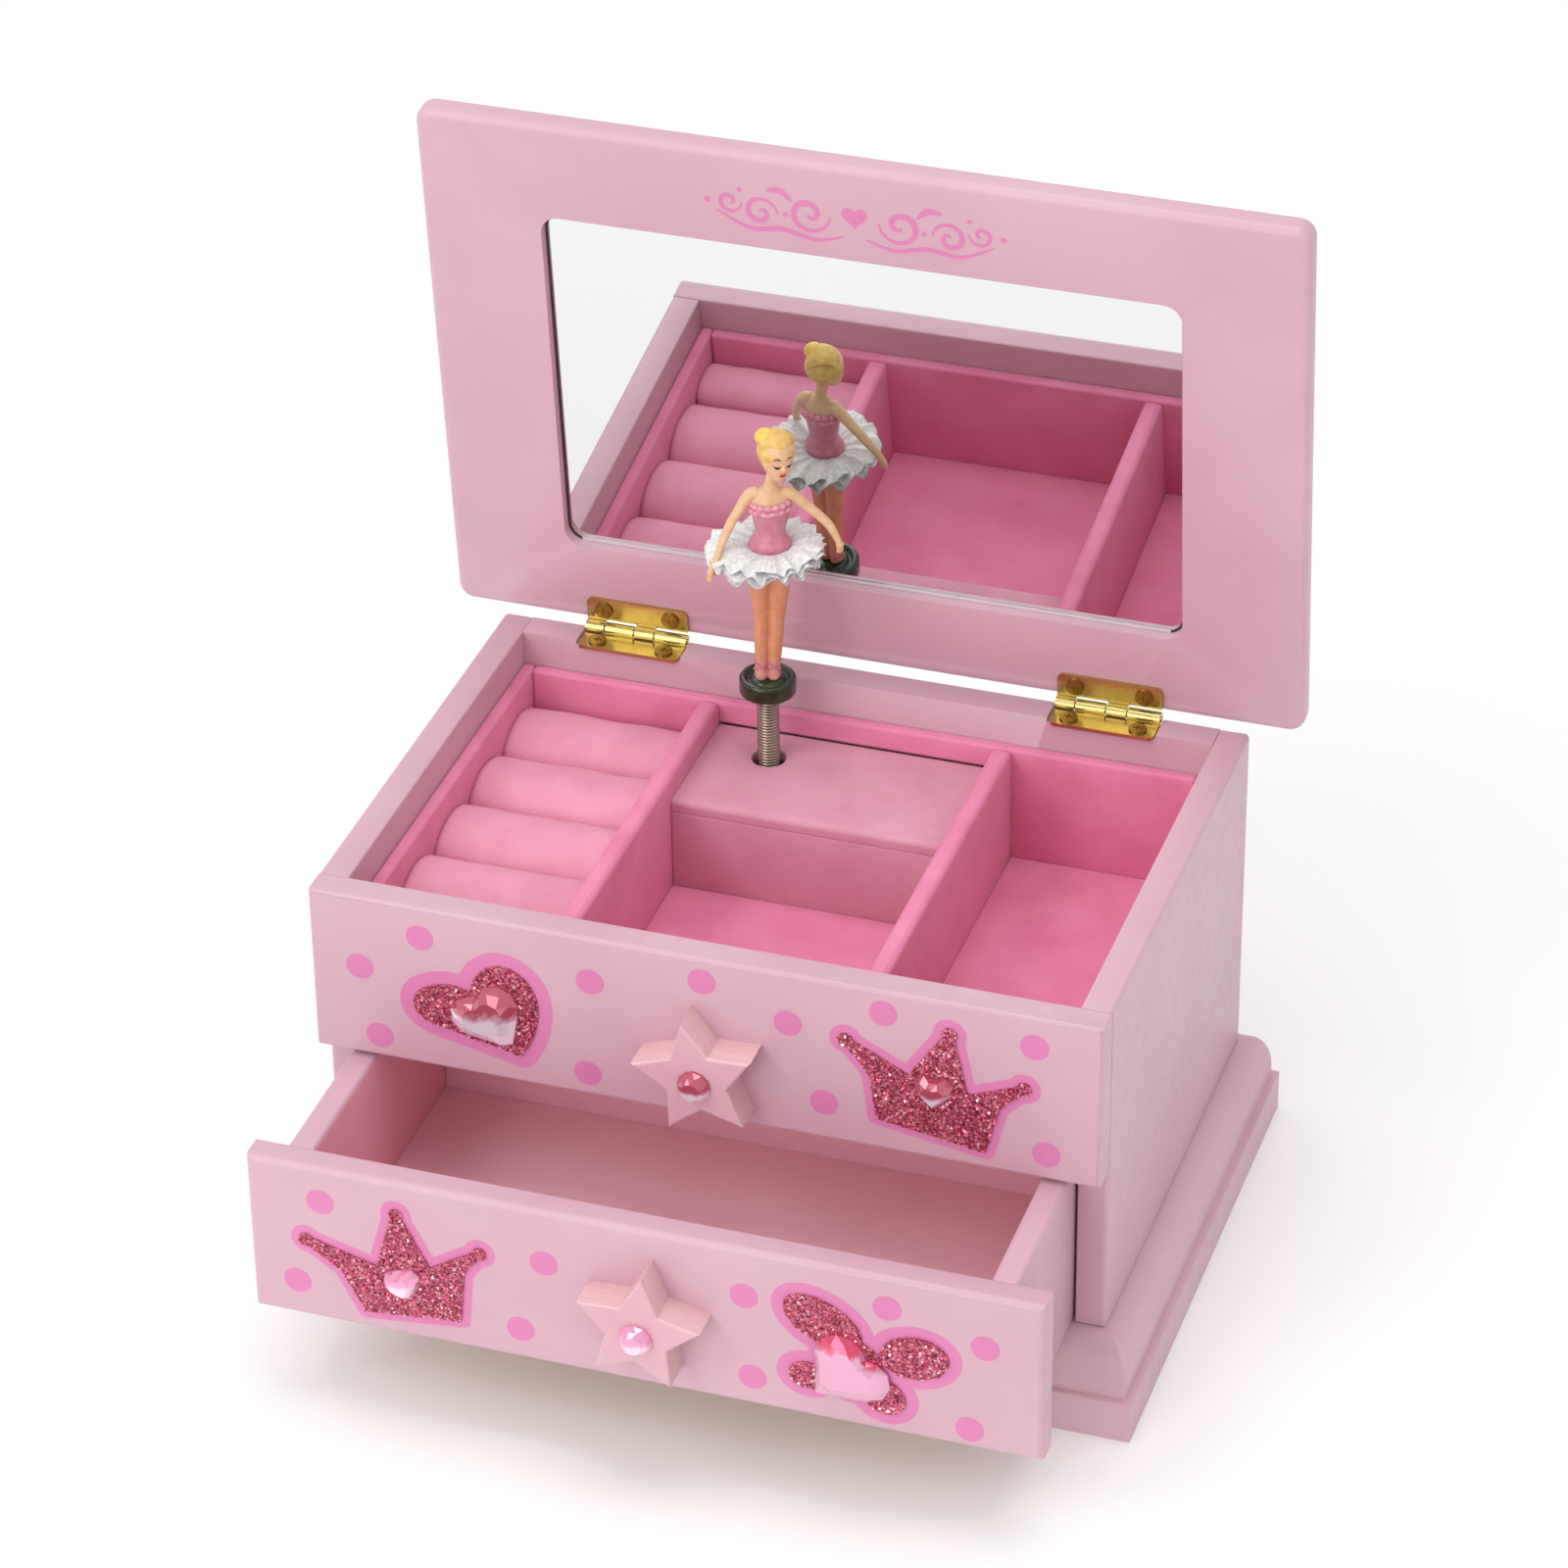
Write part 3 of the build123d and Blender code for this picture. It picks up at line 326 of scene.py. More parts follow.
def flock_finish(name, colour, shade):
    """Short rayon flock: matt, bright at grazing angles, with brushed patches and a fine nap."""
    made = Finish(name, colour, 0.95, Specular_IOR_Level=0.15, Sheen_Weight=0.3, Sheen_Roughness=0.45)
    made.shader.inputs["Sheen Tint"].default_value = srgb(255, 208, 226)
    made.mottle(95, 5, (0.3, shade), (0.7, colour))
    made.bump(made.noise(3600, 3), 0.09)
    made.bump(made.noise(260, 3), 0.07)
    return made.mat


def metal_finish(name, colour, roughness, scale=900):
    """Plated or turned metal with fine wear in its shine."""
    made = Finish(name, colour, roughness, Metallic=1.0)
    wear = made.noise(scale, 5)
    made.rough(made.range(wear, roughness * 0.7, roughness * 1.5))
    made.bump(wear, 0.003, 0.5)
    return made.mat


def glitter_finish():
    """Rose glitter bed: packed metallic grains, each tilted and tinted its own way."""
    made = Finish("glitter_bed", (164, 70, 94), 0.35, Metallic=0.3)
    grains = made.node("ShaderNodeTexVoronoi", Scale=3600.0)
    made.link(made.place.outputs["Object"], grains.inputs["Vector"])
    tint = made.node("ShaderNodeSeparateColor")
    made.link(grains.outputs["Color"], tint.inputs["Color"])
    stops = (0.0, (130, 40, 64)), (0.45, (180, 70, 98)), (0.8, (212, 116, 136)), (1.0, (240, 190, 194))
    made.colour(made.ramp(tint.outputs["Red"], *stops))
    made.bump(tint.outputs["Green"], 0.3)
    return made.mat


def flake_finish():
    """Loose glitter flakes: bright foil in a few rose tints, one tint to a flake."""
    made = Finish("glitter_flakes", (206, 96, 120), 0.2, Metallic=0.7)
    each = made.node("ShaderNodeNewGeometry")
    stops = (0.0, (146, 42, 68)), (0.5, (194, 76, 106)), (0.92, (218, 124, 142)), (1.0, (255, 230, 226))
    made.colour(made.ramp(each.outputs["Random Per Island"], *stops))
    return made.mat


def gem_finish(name, deep, reflected_pale, line):
    """Foil-backed acrylic stone with painted reflections: facets that face up, and the upper part, take the
    deep tint, which also stands for the pink box mirrored in them; those below the line take the pale
    colour, a painted reflection of bright light off the foil.
    """
    made = Finish(name, reflected_pale, 0.1, Metallic=0.45, Coat_Weight=1.0, Coat_Roughness=0.03, Coat_IOR=1.5)
    facing = made.node("ShaderNodeSeparateXYZ")
    made.link(made.place.outputs["Normal"], facing.inputs["Vector"])
    within = made.node("ShaderNodeSeparateXYZ")
    made.link(made.place.outputs["Generated"], within.inputs["Vector"])
    # Painted reflection: the mix rises with facets that face up and with height in the stone, deep above
    # the line, pale below it.
    reflection_mix = made.range(facing.outputs["Z"], 0.0, 0.4, -0.8, 0.8)
    for part in (
        made.range(within.outputs["Z"], 0.0, 0.6, 0.0, 1.0),
        made.range(made.noise(300, 2), -0.05, 0.05),
    ):
        add = made.node("ShaderNodeMath", operation="ADD")
        made.link(reflection_mix, add.inputs[0])
        made.link(part, add.inputs[1])
        reflection_mix = add.outputs[0]
    made.colour(made.ramp(reflection_mix, (line - 0.04, reflected_pale), (line + 0.04, deep), (0.98, deep)))
    made.bump(made.noise(700, 2), 0.006)
    return made.mat


def doll_finish(name, colour, shade, roughness=0.45):
    """Hand-brushed enamel on moulded plastic."""
    made = Finish(name, colour, roughness, Specular_IOR_Level=0.4, Subsurface_Weight=0.08)
    made.shader.inputs["Subsurface Radius"].default_value = (0.0009, 0.0004, 0.0003)
    made.mottle(700, 4, (0.34, shade), (0.66, colour))
    made.bump(made.noise(2600, 3), 0.02)
    return made.mat


def net_finish():
    """Stiff white net, gathered and dusted with glitter."""
    made = Finish("tutu_net", (228, 223, 222), 0.6, Sheen_Weight=0.3, Subsurface_Weight=0.15)
    made.shader.inputs["Subsurface Radius"].default_value = (0.001, 0.001, 0.001)
    made.mottle(1500, 4, (0.35, (204, 202, 202)), (0.6, (228, 226, 224)))
    made.bump(made.noise(4200, 3), 0.05)
    return made.mat


def bare_board_finish():
    """Unpainted thin board with long pale grain."""
    made = Finish("bare_board", (214, 186, 148), 0.7)
    grain = made.noise(260, 6, (0.1, 1, 1))
    made.colour(made.ramp(grain, (0.35, (196, 164, 124)), (0.65, (222, 196, 158))))
    made.bump(grain, 0.04)
    return made.mat


paint = paint_finish("pink_paint", (205, 165, 177), (200, 159, 172)).mat
# Painted light: a lighter copy of the pink paint for the inner faces of the drawer's side walls,
# brightening them beyond what the lamps give.
walls_painted_light = paint_finish("drawer_walls_painted_light", (246, 180, 194), (240, 170, 186)).mat
print_pink = paint_finish("printed_pink", (212, 126, 172), (207, 118, 166)).mat
star_paint = ply_paint_finish().mat
flock = flock_finish("rose_flock", (230, 142, 174), (220, 126, 160))
flock_deck = flock_finish("deck_flock", (215, 156, 174), (206, 143, 162))
foam_flock = flock_finish("roll_flock", (228, 158, 180), (218, 144, 168))
brass = metal_finish("hinge_brass", (194, 176, 116), 0.22, scale=260)
screw_brass = metal_finish("screw_brass", (150, 122, 72), 0.3)
# Painted light: a still paler copy for the drawer floor and the inner face of its back, as though the front
# light fell full on them.
back_and_floor_painted_light = paint_finish("drawer_back_floor_painted_light", (252, 204, 216), (248, 196, 209)).mat
steel = metal_finish("bright_steel", (190, 186, 180), 0.28)
casting = metal_finish("movement_casting", (176, 176, 178), 0.45, scale=400)
spring_steel = metal_finish("spring_steel", (176, 166, 150), 0.24)
bare_board = bare_board_finish()
glitter_bed = glitter_finish()
flakes = flake_finish()

# -------- boards, linings and mirror

for board in ("case_left_side", "case_right_side", "case_back", "upper_front_panel", "plinth_base"):
    softened(board, paint, 0.35)
for board in ("lid_board", "drawer_front"):
    softened(board, paint, 0.3)
# The drawer boards' inner faces take the lighter copies of the paint: painted light.
for board, inner, inwards in (
    ("drawer_left_side", walls_painted_light, (1, 0, 0)),
    ("drawer_right_side", walls_painted_light, (-1, 0, 0)),
    ("drawer_back", back_and_floor_painted_light, (0, -1, 0)),
):
    softened(board, paint, 0.3, inner=inner, inwards=inwards)
softened("drawer_floor_pad", back_and_floor_painted_light, 0.1)
for board in ("lining_left", "lining_right", "lining_front", "lining_back"):
    softened(board, flock, 0.7, 4)
for board in ("divider_left", "divider_right", "compartment_floor_pads"):
    softened(board, flock, 0.35)
for board in ("deck_top", "deck_riser"):
    softened(board, flock_deck, 0.4)
for board in ("tray_floor", "drawer_bottom"):
    finish_node(board, bare_board)

silvered = Finish("silvered_glass", (223, 224, 223), 0.012, Metallic=1.0)
silvered.rough(silvered.range(silvered.noise(60, 3), 0.006, 0.02))
finish_node("mirror_glass", silvered.mat)

# The lid's own directions: across, up the lid from the hinge, and out of its inner face
lid_joint = joints["lid_hinge"]
pin = Vector(lid_joint["pos_m"])
lid_angle = radians(lid_joint["range_deg"][1])
lid_up = Vector((0, -cos(lid_angle), sin(lid_angle)))
lid_out = Vector((0, -sin(lid_angle), -cos(lid_angle)))
inner_face_mm = -1.25


def on_lid(across, up, stand=0.02):
    """A point on the lid's inner face, in mm across and up from the hinge pin, standing off by so much."""
    return pin + Vector((across * MM, 0, 0)) + lid_up * (up * MM) + lid_out * ((inner_face_mm + stand) * MM)


def flat_ribbon(line, widths, normal, thick_mm):
    """A flat painted stroke: vertices and faces of a thin strip along a line on a plane."""
    verts = []
    count = len(line)
    for i, point in enumerate(line):
        along = line[min(i + 1, count - 1)] - line[max(i - 1, 0)]
        side = along.cross(normal).normalized() * (widths[i] * MM / 2)
        lift = normal * (thick_mm * MM)
        verts += [point - side, point + side, point + side + lift, point - side + lift]
    return verts, bands(count, 4, capped=True, flip=True)


def plate(outline, normal, thick_mm):
    """Vertices and faces of a thin flat plate with that outline, raised along the normal."""
    count = len(outline)
    lift = normal * (thick_mm * MM)
    verts = list(outline) + [p + lift for p in outline]
    faces = [tuple(range(count))[::-1], tuple(range(count, 2 * count))]
    for i in range(count):
        n = (i + 1) % count
        faces.append((i, n, count + n, count + i))
    return verts, faces


# -------- printed decoration

FRONT = Vector((0, -1, 0))
upper_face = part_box("upper_front_panel")[0].y / MM
drawer_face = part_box("drawer_front")[0].y / MM
dot_r = 2.5
print_mm = 0.03
sunk = 0.01
upper_dots = [
    (-50.3, 78.4), (-61.7, 70.2), (-58.7, 56.4), (-19.5, 75.6), (-20.4, 56.5), (0.6, 79.8),
    (15.8, 74.5), (22.1, 59.5), (32.6, 80.0), (58.9, 78.6), (61.2, 57.2),
]
drawer_dots = [
    (-57.2, 44.2), (-62.3, 26.4), (-16.9, 40.4), (-21.6, 25.4), (18.6, 41.8), (19.9, 25.0),
    (43.6, 45.0), (60.5, 40.6), (57.9, 23.0),
]


def printed(name, parts, body):
    """Flat shapes printed in the darker pink."""
    return piece(name, *joined(parts), print_pink, body, smooth=False)


def dots(name, spots, face_mm, body):
    """Printed round dots on a front."""
    parts = []
    for x, z in spots:
        ring = [mm(x + dx, face_mm - sunk, z + dz) for dx, dz in circle(48, dot_r)]
        parts.append(plate(ring, FRONT, print_mm))
    printed(name, parts, body)


dots("dots_upper", upper_dots, upper_face, "case")
dots("dots_drawer", drawer_dots, drawer_face, "drawer")


def front_loops(node):
    """The outlines of a flat CAD piece's front, each in order, as (x, z) in mm."""
    bm = bmesh.new()
    bm.from_mesh(nodes[node].data)
    bmesh.ops.remove_doubles(bm, verts=bm.verts, dist=1e-6)
    front_y = min(v.co.y for v in bm.verts)
    front = {f for f in bm.faces if all(abs(v.co.y - front_y) < 1e-6 for v in f.verts)}
    ahead = {}
    for edge in bm.edges:
        if sum(f in front for f in edge.link_faces) == 1:
            for a, b in (edge.verts, reversed(edge.verts)):
                ahead.setdefault(a, []).append(b)
    loops = []
    while ahead:
        here = min(ahead, key=lambda v: (v.co.x, v.co.z))
        loop = []
        while here in ahead:
            loop.append((here.co.x / MM, here.co.z / MM))
            options = ahead.pop(here)
            here = next((v for v in options if v in ahead), here)
        area = sum(a[0] * b[1] - b[0] * a[1] for a, b in zip(loop, loop[1:] + loop[:1]))
        loops.append(loop if area > 0 else loop[::-1])
    bm.free()
    return loops


def spaced(loop, step):
    """A closed outline cut into steps of about that length."""
    points = []
    for a, b in zip(loop, loop[1:] + loop[:1]):
        a, b = Vector(a), Vector(b)
        count = max(1, round((b - a).length / step))
        points += [a.lerp(b, k / count) for k in range(count)]
    return points


def grown(loop, by):
    """An outline moved outwards, round at its corners and clean where it closes on itself."""
    base = spaced(loop, 0.4)
    count = len(base)
    ring = []
    for i, point in enumerate(base):
        into = (point - base[i - 1]).normalized()
        away = (base[(i + 1) % count] - point).normalized()
        first, second = (Vector((d.y, -d.x)) for d in (into, away))
        swing = atan2(into.cross(away), into.dot(away))
        steps = max(1, int(swing / 0.2))
        for share in [k / steps for k in range(steps + 1)] if swing > 0.02 else [0.5]:
            out = first.lerp(second, share)
            if out.length > 1e-6:
                ring.append(point + out.normalized() * by)
    edges = list(zip(base, base[1:] + base[:1]))

    def gap(p):
        """How far a point lies from the outline."""
        near = (geometry.intersect_point_line(p, a, b) for a, b in edges)
        shares = [max(0, min(1, share)) for _, share in near]
        return min((p - a.lerp(b, k)).length for (a, b), k in zip(edges, shares))

    kept = []
    for p in ring:
        if gap(p) > by - 0.004 and not (kept and (p - kept[-1]).length < 0.02):
            kept.append(p)
    return kept


def printed_outline(name, node, by, face_mm, body):
    """The pink printed margin round a glitter shape, each part of it a hair above the last."""
    parts = []
    for number, loop in enumerate(front_loops(node)):
        ring = [mm(p.x, face_mm - sunk, p.y) for p in grown(loop, by)]
        parts.append(plate(ring, FRONT, 0.02 + 0.006 * number))
    printed(name, parts, body)


printed_outline("outline_heart", "glitter_heart", 2.6, upper_face, "case")
printed_outline("outline_crown_upper", "glitter_crown_upper", 1.6, upper_face, "case")
printed_outline("outline_crown_drawer", "glitter_crown_drawer", 1.6, drawer_face, "drawer")
printed_outline("outline_butterfly", "glitter_butterfly", 2.2, drawer_face, "drawer")


def spiral(centre, radius, start, turns, side):
    """A scroll on the lid that winds inwards from its radius; side mirrors it."""
    line = []
    count = 40
    for k in range(count + 1):
        share = k / count
        angle = start + share * turns * 2 * pi
        r = radius * (1 - share) ** 0.8 + 0.25
        line.append((side * (centre[0] + r * cos(angle)), centre[1] + r * sin(angle)))
    return line


def flourish():
    """A printed scroll ornament in the band above the mirror."""
    parts = []
    middle = 95.0

    def stroke(line, thick, thin):
        count = len(line)
        widths = [thin + (thick - thin) * sin(pi * k / (count - 1)) for k in range(count)]
        parts.append(flat_ribbon([on_lid(x, y) for x, y in line], widths, lid_out, print_mm))

    for side in (-1, 1):
        stroke(spiral((8.2, middle + 0.4), 3.6, pi, 1.35, side), 1.1, 0.3)
        stroke(spiral((17.0, middle - 0.6), 2.9, -pi, -1.3, side), 0.95, 0.3)
        stroke(spiral((22.6, middle + 0.8), 2.0, pi, 1.2, side), 0.8, 0.3)
        sweep = [(2.0, -3.2), (7.0, -4.6), (13.0, -3.4), (19.0, -4.0), (25.0, -1.2)]
        line = smooth_line([(side * x, middle + y, 0) for x, y in sweep], 10)
        stroke([(p.x, p.y) for p in line], 0.9, 0.25)
        leaf = [(11.2, 2.4), (13.2, 4.2), (15.8, 4.0)]
        line = smooth_line([(side * x, middle + y, 0) for x, y in leaf], 10)
        stroke([(p.x, p.y) for p in line], 1.2, 0.2)
        for x, y, r in ((26.6, 0.6, 0.55), (12.4, -0.4, 0.5), (20.6, 3.4, 0.45)):
            ring = [on_lid(side * x + dx, middle + y + dy) for dx, dy in circle(24, r)]
            parts.append(plate(ring if side < 0 else ring[::-1], lid_out, print_mm))
    heart = []
    for k in range(48):
        t = 2 * pi * k / 48
        x = 2.3 * sin(t) ** 3
        y = 1.87 * cos(t) - 0.72 * cos(2 * t) - 0.29 * cos(3 * t) - 0.14 * cos(4 * t)
        heart.append(on_lid(x, middle + 1.0 + y))
    parts.append(plate(heart, lid_out, print_mm))
    printed("lid_flourish", parts, "lid")


flourish()


def lid_spans(node):
    """Lowest and highest of a node across the lid, up it and out of its inner face, in mm."""
    rows = [
        (v.co.x / MM, (v.co - pin).dot(lid_up) / MM, (v.co - pin).dot(lid_out) / MM)
        for v in nodes[node].data.vertices
    ]
    return [(min(values), max(values)) for values in zip(*rows)]


def mirror_edge_and_painted_light():
    """The glass edge: a dark line round it, partly the dull edge where the silvering stops short and partly
    painted shadow in the gap round the glass; and a bright ground edge along the bottom only, a painted
    highlight where that edge catches the light.
    """
    across, up, out = lid_spans("mirror_glass")
    corner_r, inset = 3.4, 0.3
    line_wide, strip_wide, strip_in = 0.5, 0.75, 2.6
    line = []
    for quarter, (i, j) in enumerate(((1, 1), (0, 1), (0, 0), (1, 0))):
        x, y = across[i] + corner_r * (1 - 2 * i), up[j] + corner_r * (1 - 2 * j)
        for k in range(9):
            angle = (quarter + k / 8) * pi / 2
            spot = (x + (corner_r - inset) * cos(angle), y + (corner_r - inset) * sin(angle))
            line.append(on_lid(*spot, out[1] - inner_face_mm + 0.03))
    line.append(line[0].copy())
    # Dark line round the glass: partly the dull edge of the glass, partly painted shadow in the gap round
    # it.
    edge_and_shadow = Finish("mirror_edge_and_painted_light", (46, 36, 38), 0.5)
    edge_and_shadow.mottle(900, 3, (0.3, (34, 26, 28)), (0.7, (74, 58, 60)))
    ring = flat_ribbon(line, [line_wide] * len(line), lid_out, 0.03)
    piece("mirror_edge_shadow_line", *ring, edge_and_shadow.mat, "lid", smooth=False)
    # Bright strip along the bottom edge only: the ground glass edge as a painted highlight, where it
    # catches the light.
    edge_glint = Finish("ground_edge_glint", (236, 240, 238), 0.12, Metallic=0.9)
    edge_glint.bump(edge_glint.noise(600, 3, (0.2, 1, 1)), 0.02)
    run = across[1] - across[0] - 2 * strip_in
    low_edge = [
        on_lid(across[0] + strip_in + k * run / 40, up[0] + 0.45, out[1] - inner_face_mm + 0.07)
        for k in range(41)
    ]
    strip = flat_ribbon(low_edge, [strip_wide] * len(low_edge), lid_out, 0.04)
    piece("mirror_edge_glint", *strip, edge_glint.mat, "lid", smooth=False)


mirror_edge_and_painted_light()

# -------- glitter and cut stones


def inside(point, loop):
    """Whether a point lies inside a closed outline."""
    x, y = point
    hit = False
    for a, b in zip(loop, loop[1:] + loop[:1]):
        if (a[1] > y) != (b[1] > y) and x < a[0] + (y - a[1]) * (b[0] - a[0]) / (b[1] - a[1]):
            hit = not hit
    return hit


def glitter(node, body, seed):
    """A glitter shape: its bed, and loose flakes that lie on it every way."""
    finish_node(node, glitter_bed)
    loops = front_loops(node)
    low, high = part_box(node)
    flake_y = low.y / MM
    width, height = (high.x - low.x) / MM, (high.z - low.z) / MM
    per_mm2, smallest, spread, tumble, proud = 5, 0.17, 0.13, 0.55, 0.09
    noise.seed_set(seed)
    parts = []
    for _ in range(int(width * height * per_mm2)):
        spot = (low.x / MM + width * noise.random(), low.z / MM + height * noise.random())
        size = smallest + spread * noise.random()
        tilt = noise.random_unit_vector()
        turn = noise.random() * pi
        if not any(inside(spot, loop) for loop in loops):
            continue
        normal = (FRONT + tilt * tumble).normalized()
        side = normal.cross(Vector((0, 0, 1))).normalized()
        other = normal.cross(side)
        middle = mm(spot[0], flake_y - proud, spot[1])
        ring = [middle + (side * c + other * s) * (size * MM) for c, s in circle(6, start=turn)]
        parts.append((ring, [tuple(range(6))]))
    obj = piece(node + "_flakes", *joined(parts), flakes, body, smooth=False)
    return obj


glitter("glitter_heart", "case", 11)
glitter("glitter_crown_upper", "case", 12)
glitter("glitter_crown_drawer", "drawer", 13)
glitter("glitter_butterfly", "drawer", 14)


def back_loop(node):
    """The outline of a stone where it is glued on, as points about its own middle, and the middle."""
    low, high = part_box(node)
    ring = {
        (round(v.co.x / MM, 4), round(v.co.z / MM, 4))
        for v in nodes[node].data.vertices
        if abs(v.co.y - high.y) < 1e-6
    }
    middle = Vector(((low.x + high.x) / 2 / MM, (low.z + high.z) / 2 / MM))
    points = [Vector(p) - middle for p in ring]
    edge = [p for p in points if p.length > 1.2]
    return sorted(edge, key=lambda p: atan2(p.y, p.x)), middle


def cut_stone(node, stone, sides, body):
    """A moulded stone: low girdle, then rows of facets that rise to a small point."""
    outline, middle = back_loop(node)
    low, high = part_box(node)
    deep = (high.y - low.y) / MM

    def reach(angle):
        """How far the outline is from the middle in one direction."""
        ray = Vector((cos(angle), sin(angle)))
        for a, b in zip(outline, outline[1:] + outline[:1]):
            along = b - a
            across = ray.cross(along)
            if abs(across) > 1e-9 and -1e-6 <= a.cross(ray) / across <= 1 + 1e-6:
                if a.cross(along) / across > 0:
                    return a.cross(along) / across
        return outline[0].length

    rows = ((1.0, 0.0, 0), (1.0, 0.22, 0), (0.82, 0.66, 0.5), (0.56, 1.0, 0))
    verts, faces = [], []
    for share, height, shift in rows:
        for k in range(sides):
            angle = 2 * pi * (k + shift) / sides
            r = reach(angle) * share
            x, z = middle.x + r * cos(angle), middle.y + r * sin(angle)
            verts.append(mm(x, high.y / MM - height * deep, z))
    for k in range(sides):
        n = (k + 1) % sides
        a, b, c, d = (row * sides for row in range(4))
        faces += [(a + k, a + n, b + n, b + k), (b + k, b + n, c + k), (b + n, c + n, c + k)]
        faces += [(c + k, d + n, d + k), (c + k, c + n, d + n)]
    faces.append(tuple(range(3 * sides, 4 * sides)))
    faces.append(tuple(range(sides))[::-1])
    obj = piece(node + "_cut", verts, faces, stone, body, smooth=False)
    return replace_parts(obj, node)


# Each stone: its tint (with the pink box mirrored in it), the pale painted reflection of its lower facets,
# and where the one turns into the other.
rose_stone = gem_finish("rose_stone", (188, 84, 104), (240, 232, 244), 0.5)
pale_stone = gem_finish("pale_stone", (238, 158, 192), (250, 210, 228), 0.5)
hot_stone = gem_finish("hot_stone", (218, 66, 106), (224, 164, 192), 0.75)

cut_stone("gem_heart", rose_stone, 16, "case")
cut_stone("gem_crown_upper", rose_stone, 12, "case")
cut_stone("gem_star_upper", rose_stone, 12, "case")
cut_stone("gem_star_drawer", pale_stone, 12, "drawer")
cut_stone("gem_crown_drawer", pale_stone, 12, "drawer")
cut_stone("gem_butterfly", hot_stone, 16, "drawer")

for star in ("star_knob_upper", "star_knob_drawer"):
    finish_node(star, star_paint)

# -------- foam ring rolls


def roll_spans():
    """Front and back of each foam roll, from the gaps between the CAD solids, in mm."""
    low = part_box("ring_rolls")[0]
    floor_ys = sorted(
        {round(v.co.y / MM, 3) for v in nodes["ring_rolls"].data.vertices if v.co.z < low.z + 1e-5}
    )
    return [(floor_ys[i], floor_ys[i + 1]) for i in range(0, len(floor_ys) - 1, 2)]


def foam_roll(index, front, back):
    """One flocked foam roll: a soft D section whose ends and crown give a little along its length."""
    low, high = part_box("ring_rolls")
    floor, top = low.z / MM, high.z / MM
    left, right = low.x / MM, high.x / MM
    half = (back - front) / 2
    shoulder = top - min(half * 0.68, 5.8)
    steps, around = 44, 36
    verts = []
    for i in range(steps + 1):
        share = i / steps
        x = left + (right - left) * share
        end = min(share, 1 - share) * (right - left)
        tuck = exp(-end / 0.55) * 0.75
        wide = half - tuck * 0.8
        for k in range(around):
            angle = -pi / 2 + 2 * pi * k / around
            dy, dz = cos(angle), sin(angle)
            y = (abs(dy) ** 0.55) * (1 if dy > 0 else -1) * wide
            if dz > 0:
                y = dy * wide
                z = shoulder + dz * (top - shoulder - tuck)
            else:
                z = shoulder + (abs(dz) ** 0.25) * -1 * (shoulder - floor)
            point = Vector((x, (front + back) / 2 + y, z))
            sway = noise.noise(point * 0.16 + Vector((index * 7.3, 0, 0)))
            if dz > 0:
                point.z += (sway - 0.35) * 0.35
            verts.append(point * MM)
    faces = bands(steps + 1, around, capped=True, flip=True)
    obj = piece(f"ring_roll_{index}", verts, faces, foam_flock, "case")
    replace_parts(obj, "ring_rolls")
    return obj


for number, (roll_front, roll_back) in enumerate(roll_spans()):
    foam_roll(number, roll_front, roll_back)

# -------- hinges and movement metal

for mat, parts in (
    (brass, ("hinge_case_leaves", "hinge_lid_leaves", "hinge_pins")),
    (screw_brass, ("hinge_case_screws", "hinge_lid_screws")),
    (brass, ("mainspring_barrel", "music_cylinder", "governor_wheel")),
    (steel, ("spindle", "movement_screws", "mainspring", "winding_arbor", "winding_key")),
    (steel, ("cylinder_arbor", "comb", "governor_fan")),
    (casting, ("movement_bedplate", "movement_bracket")),
):
    for part in parts:
        finish_node(part, mat)

# -------- disc and coil spring

spin_spot = Vector(joints["ballerina_spin"]["pos_m"])
on_axis = Vector((spin_spot.x, spin_spot.y, 0))
disc_low, disc_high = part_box("ballerina_disc")
disc_top, peg_end = disc_high.z / MM, disc_low.z / MM
disc_r = (disc_high.x - disc_low.x) / 2 / MM
dish_depth = 1.0

green = Finish("green_disc", (30, 46, 16), 0.24, Coat_Weight=0.25, Coat_Roughness=0.1)
green.mottle(420, 4, (0.35, (24, 36, 10)), (0.7, (36, 58, 20)))
green.bump(green.noise(900, 3), 0.02)


def dished_disc():
    """The green disc: a rounded rim, a shallow dish with a low boss for the feet, and the peg below."""
    thick, rim_r, peg_r = 3.5, 0.7, 1.33
    under, rim_at = disc_top - thick, disc_r - rim_r
    profile = [(0.001, peg_end), (1.0, peg_end), (peg_r, peg_end + 0.3), (peg_r, under), (rim_at, under)]
    for level, span in ((under + rim_r, range(-5, 1)), (disc_top - rim_r, range(7))):
        for k in span:
            profile.append((rim_at + rim_r * cos(k * pi / 12), level + rim_r * sin(k * pi / 12)))
    profile += [(disc_r - 1.0, disc_top - 0.06), (disc_r - 1.3, disc_top - 0.5)]
    profile += [(disc_r - 1.5, disc_top - 0.85), (3.2, disc_top - 0.85), (2.95, disc_top - 0.35)]
    profile += [(2.7, disc_top - 0.16), (0.001, disc_top - 0.14)]
    obj = piece("dished_disc", *turned(profile, on_axis), green.mat, "ballerina")
    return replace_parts(obj, "ballerina_disc")


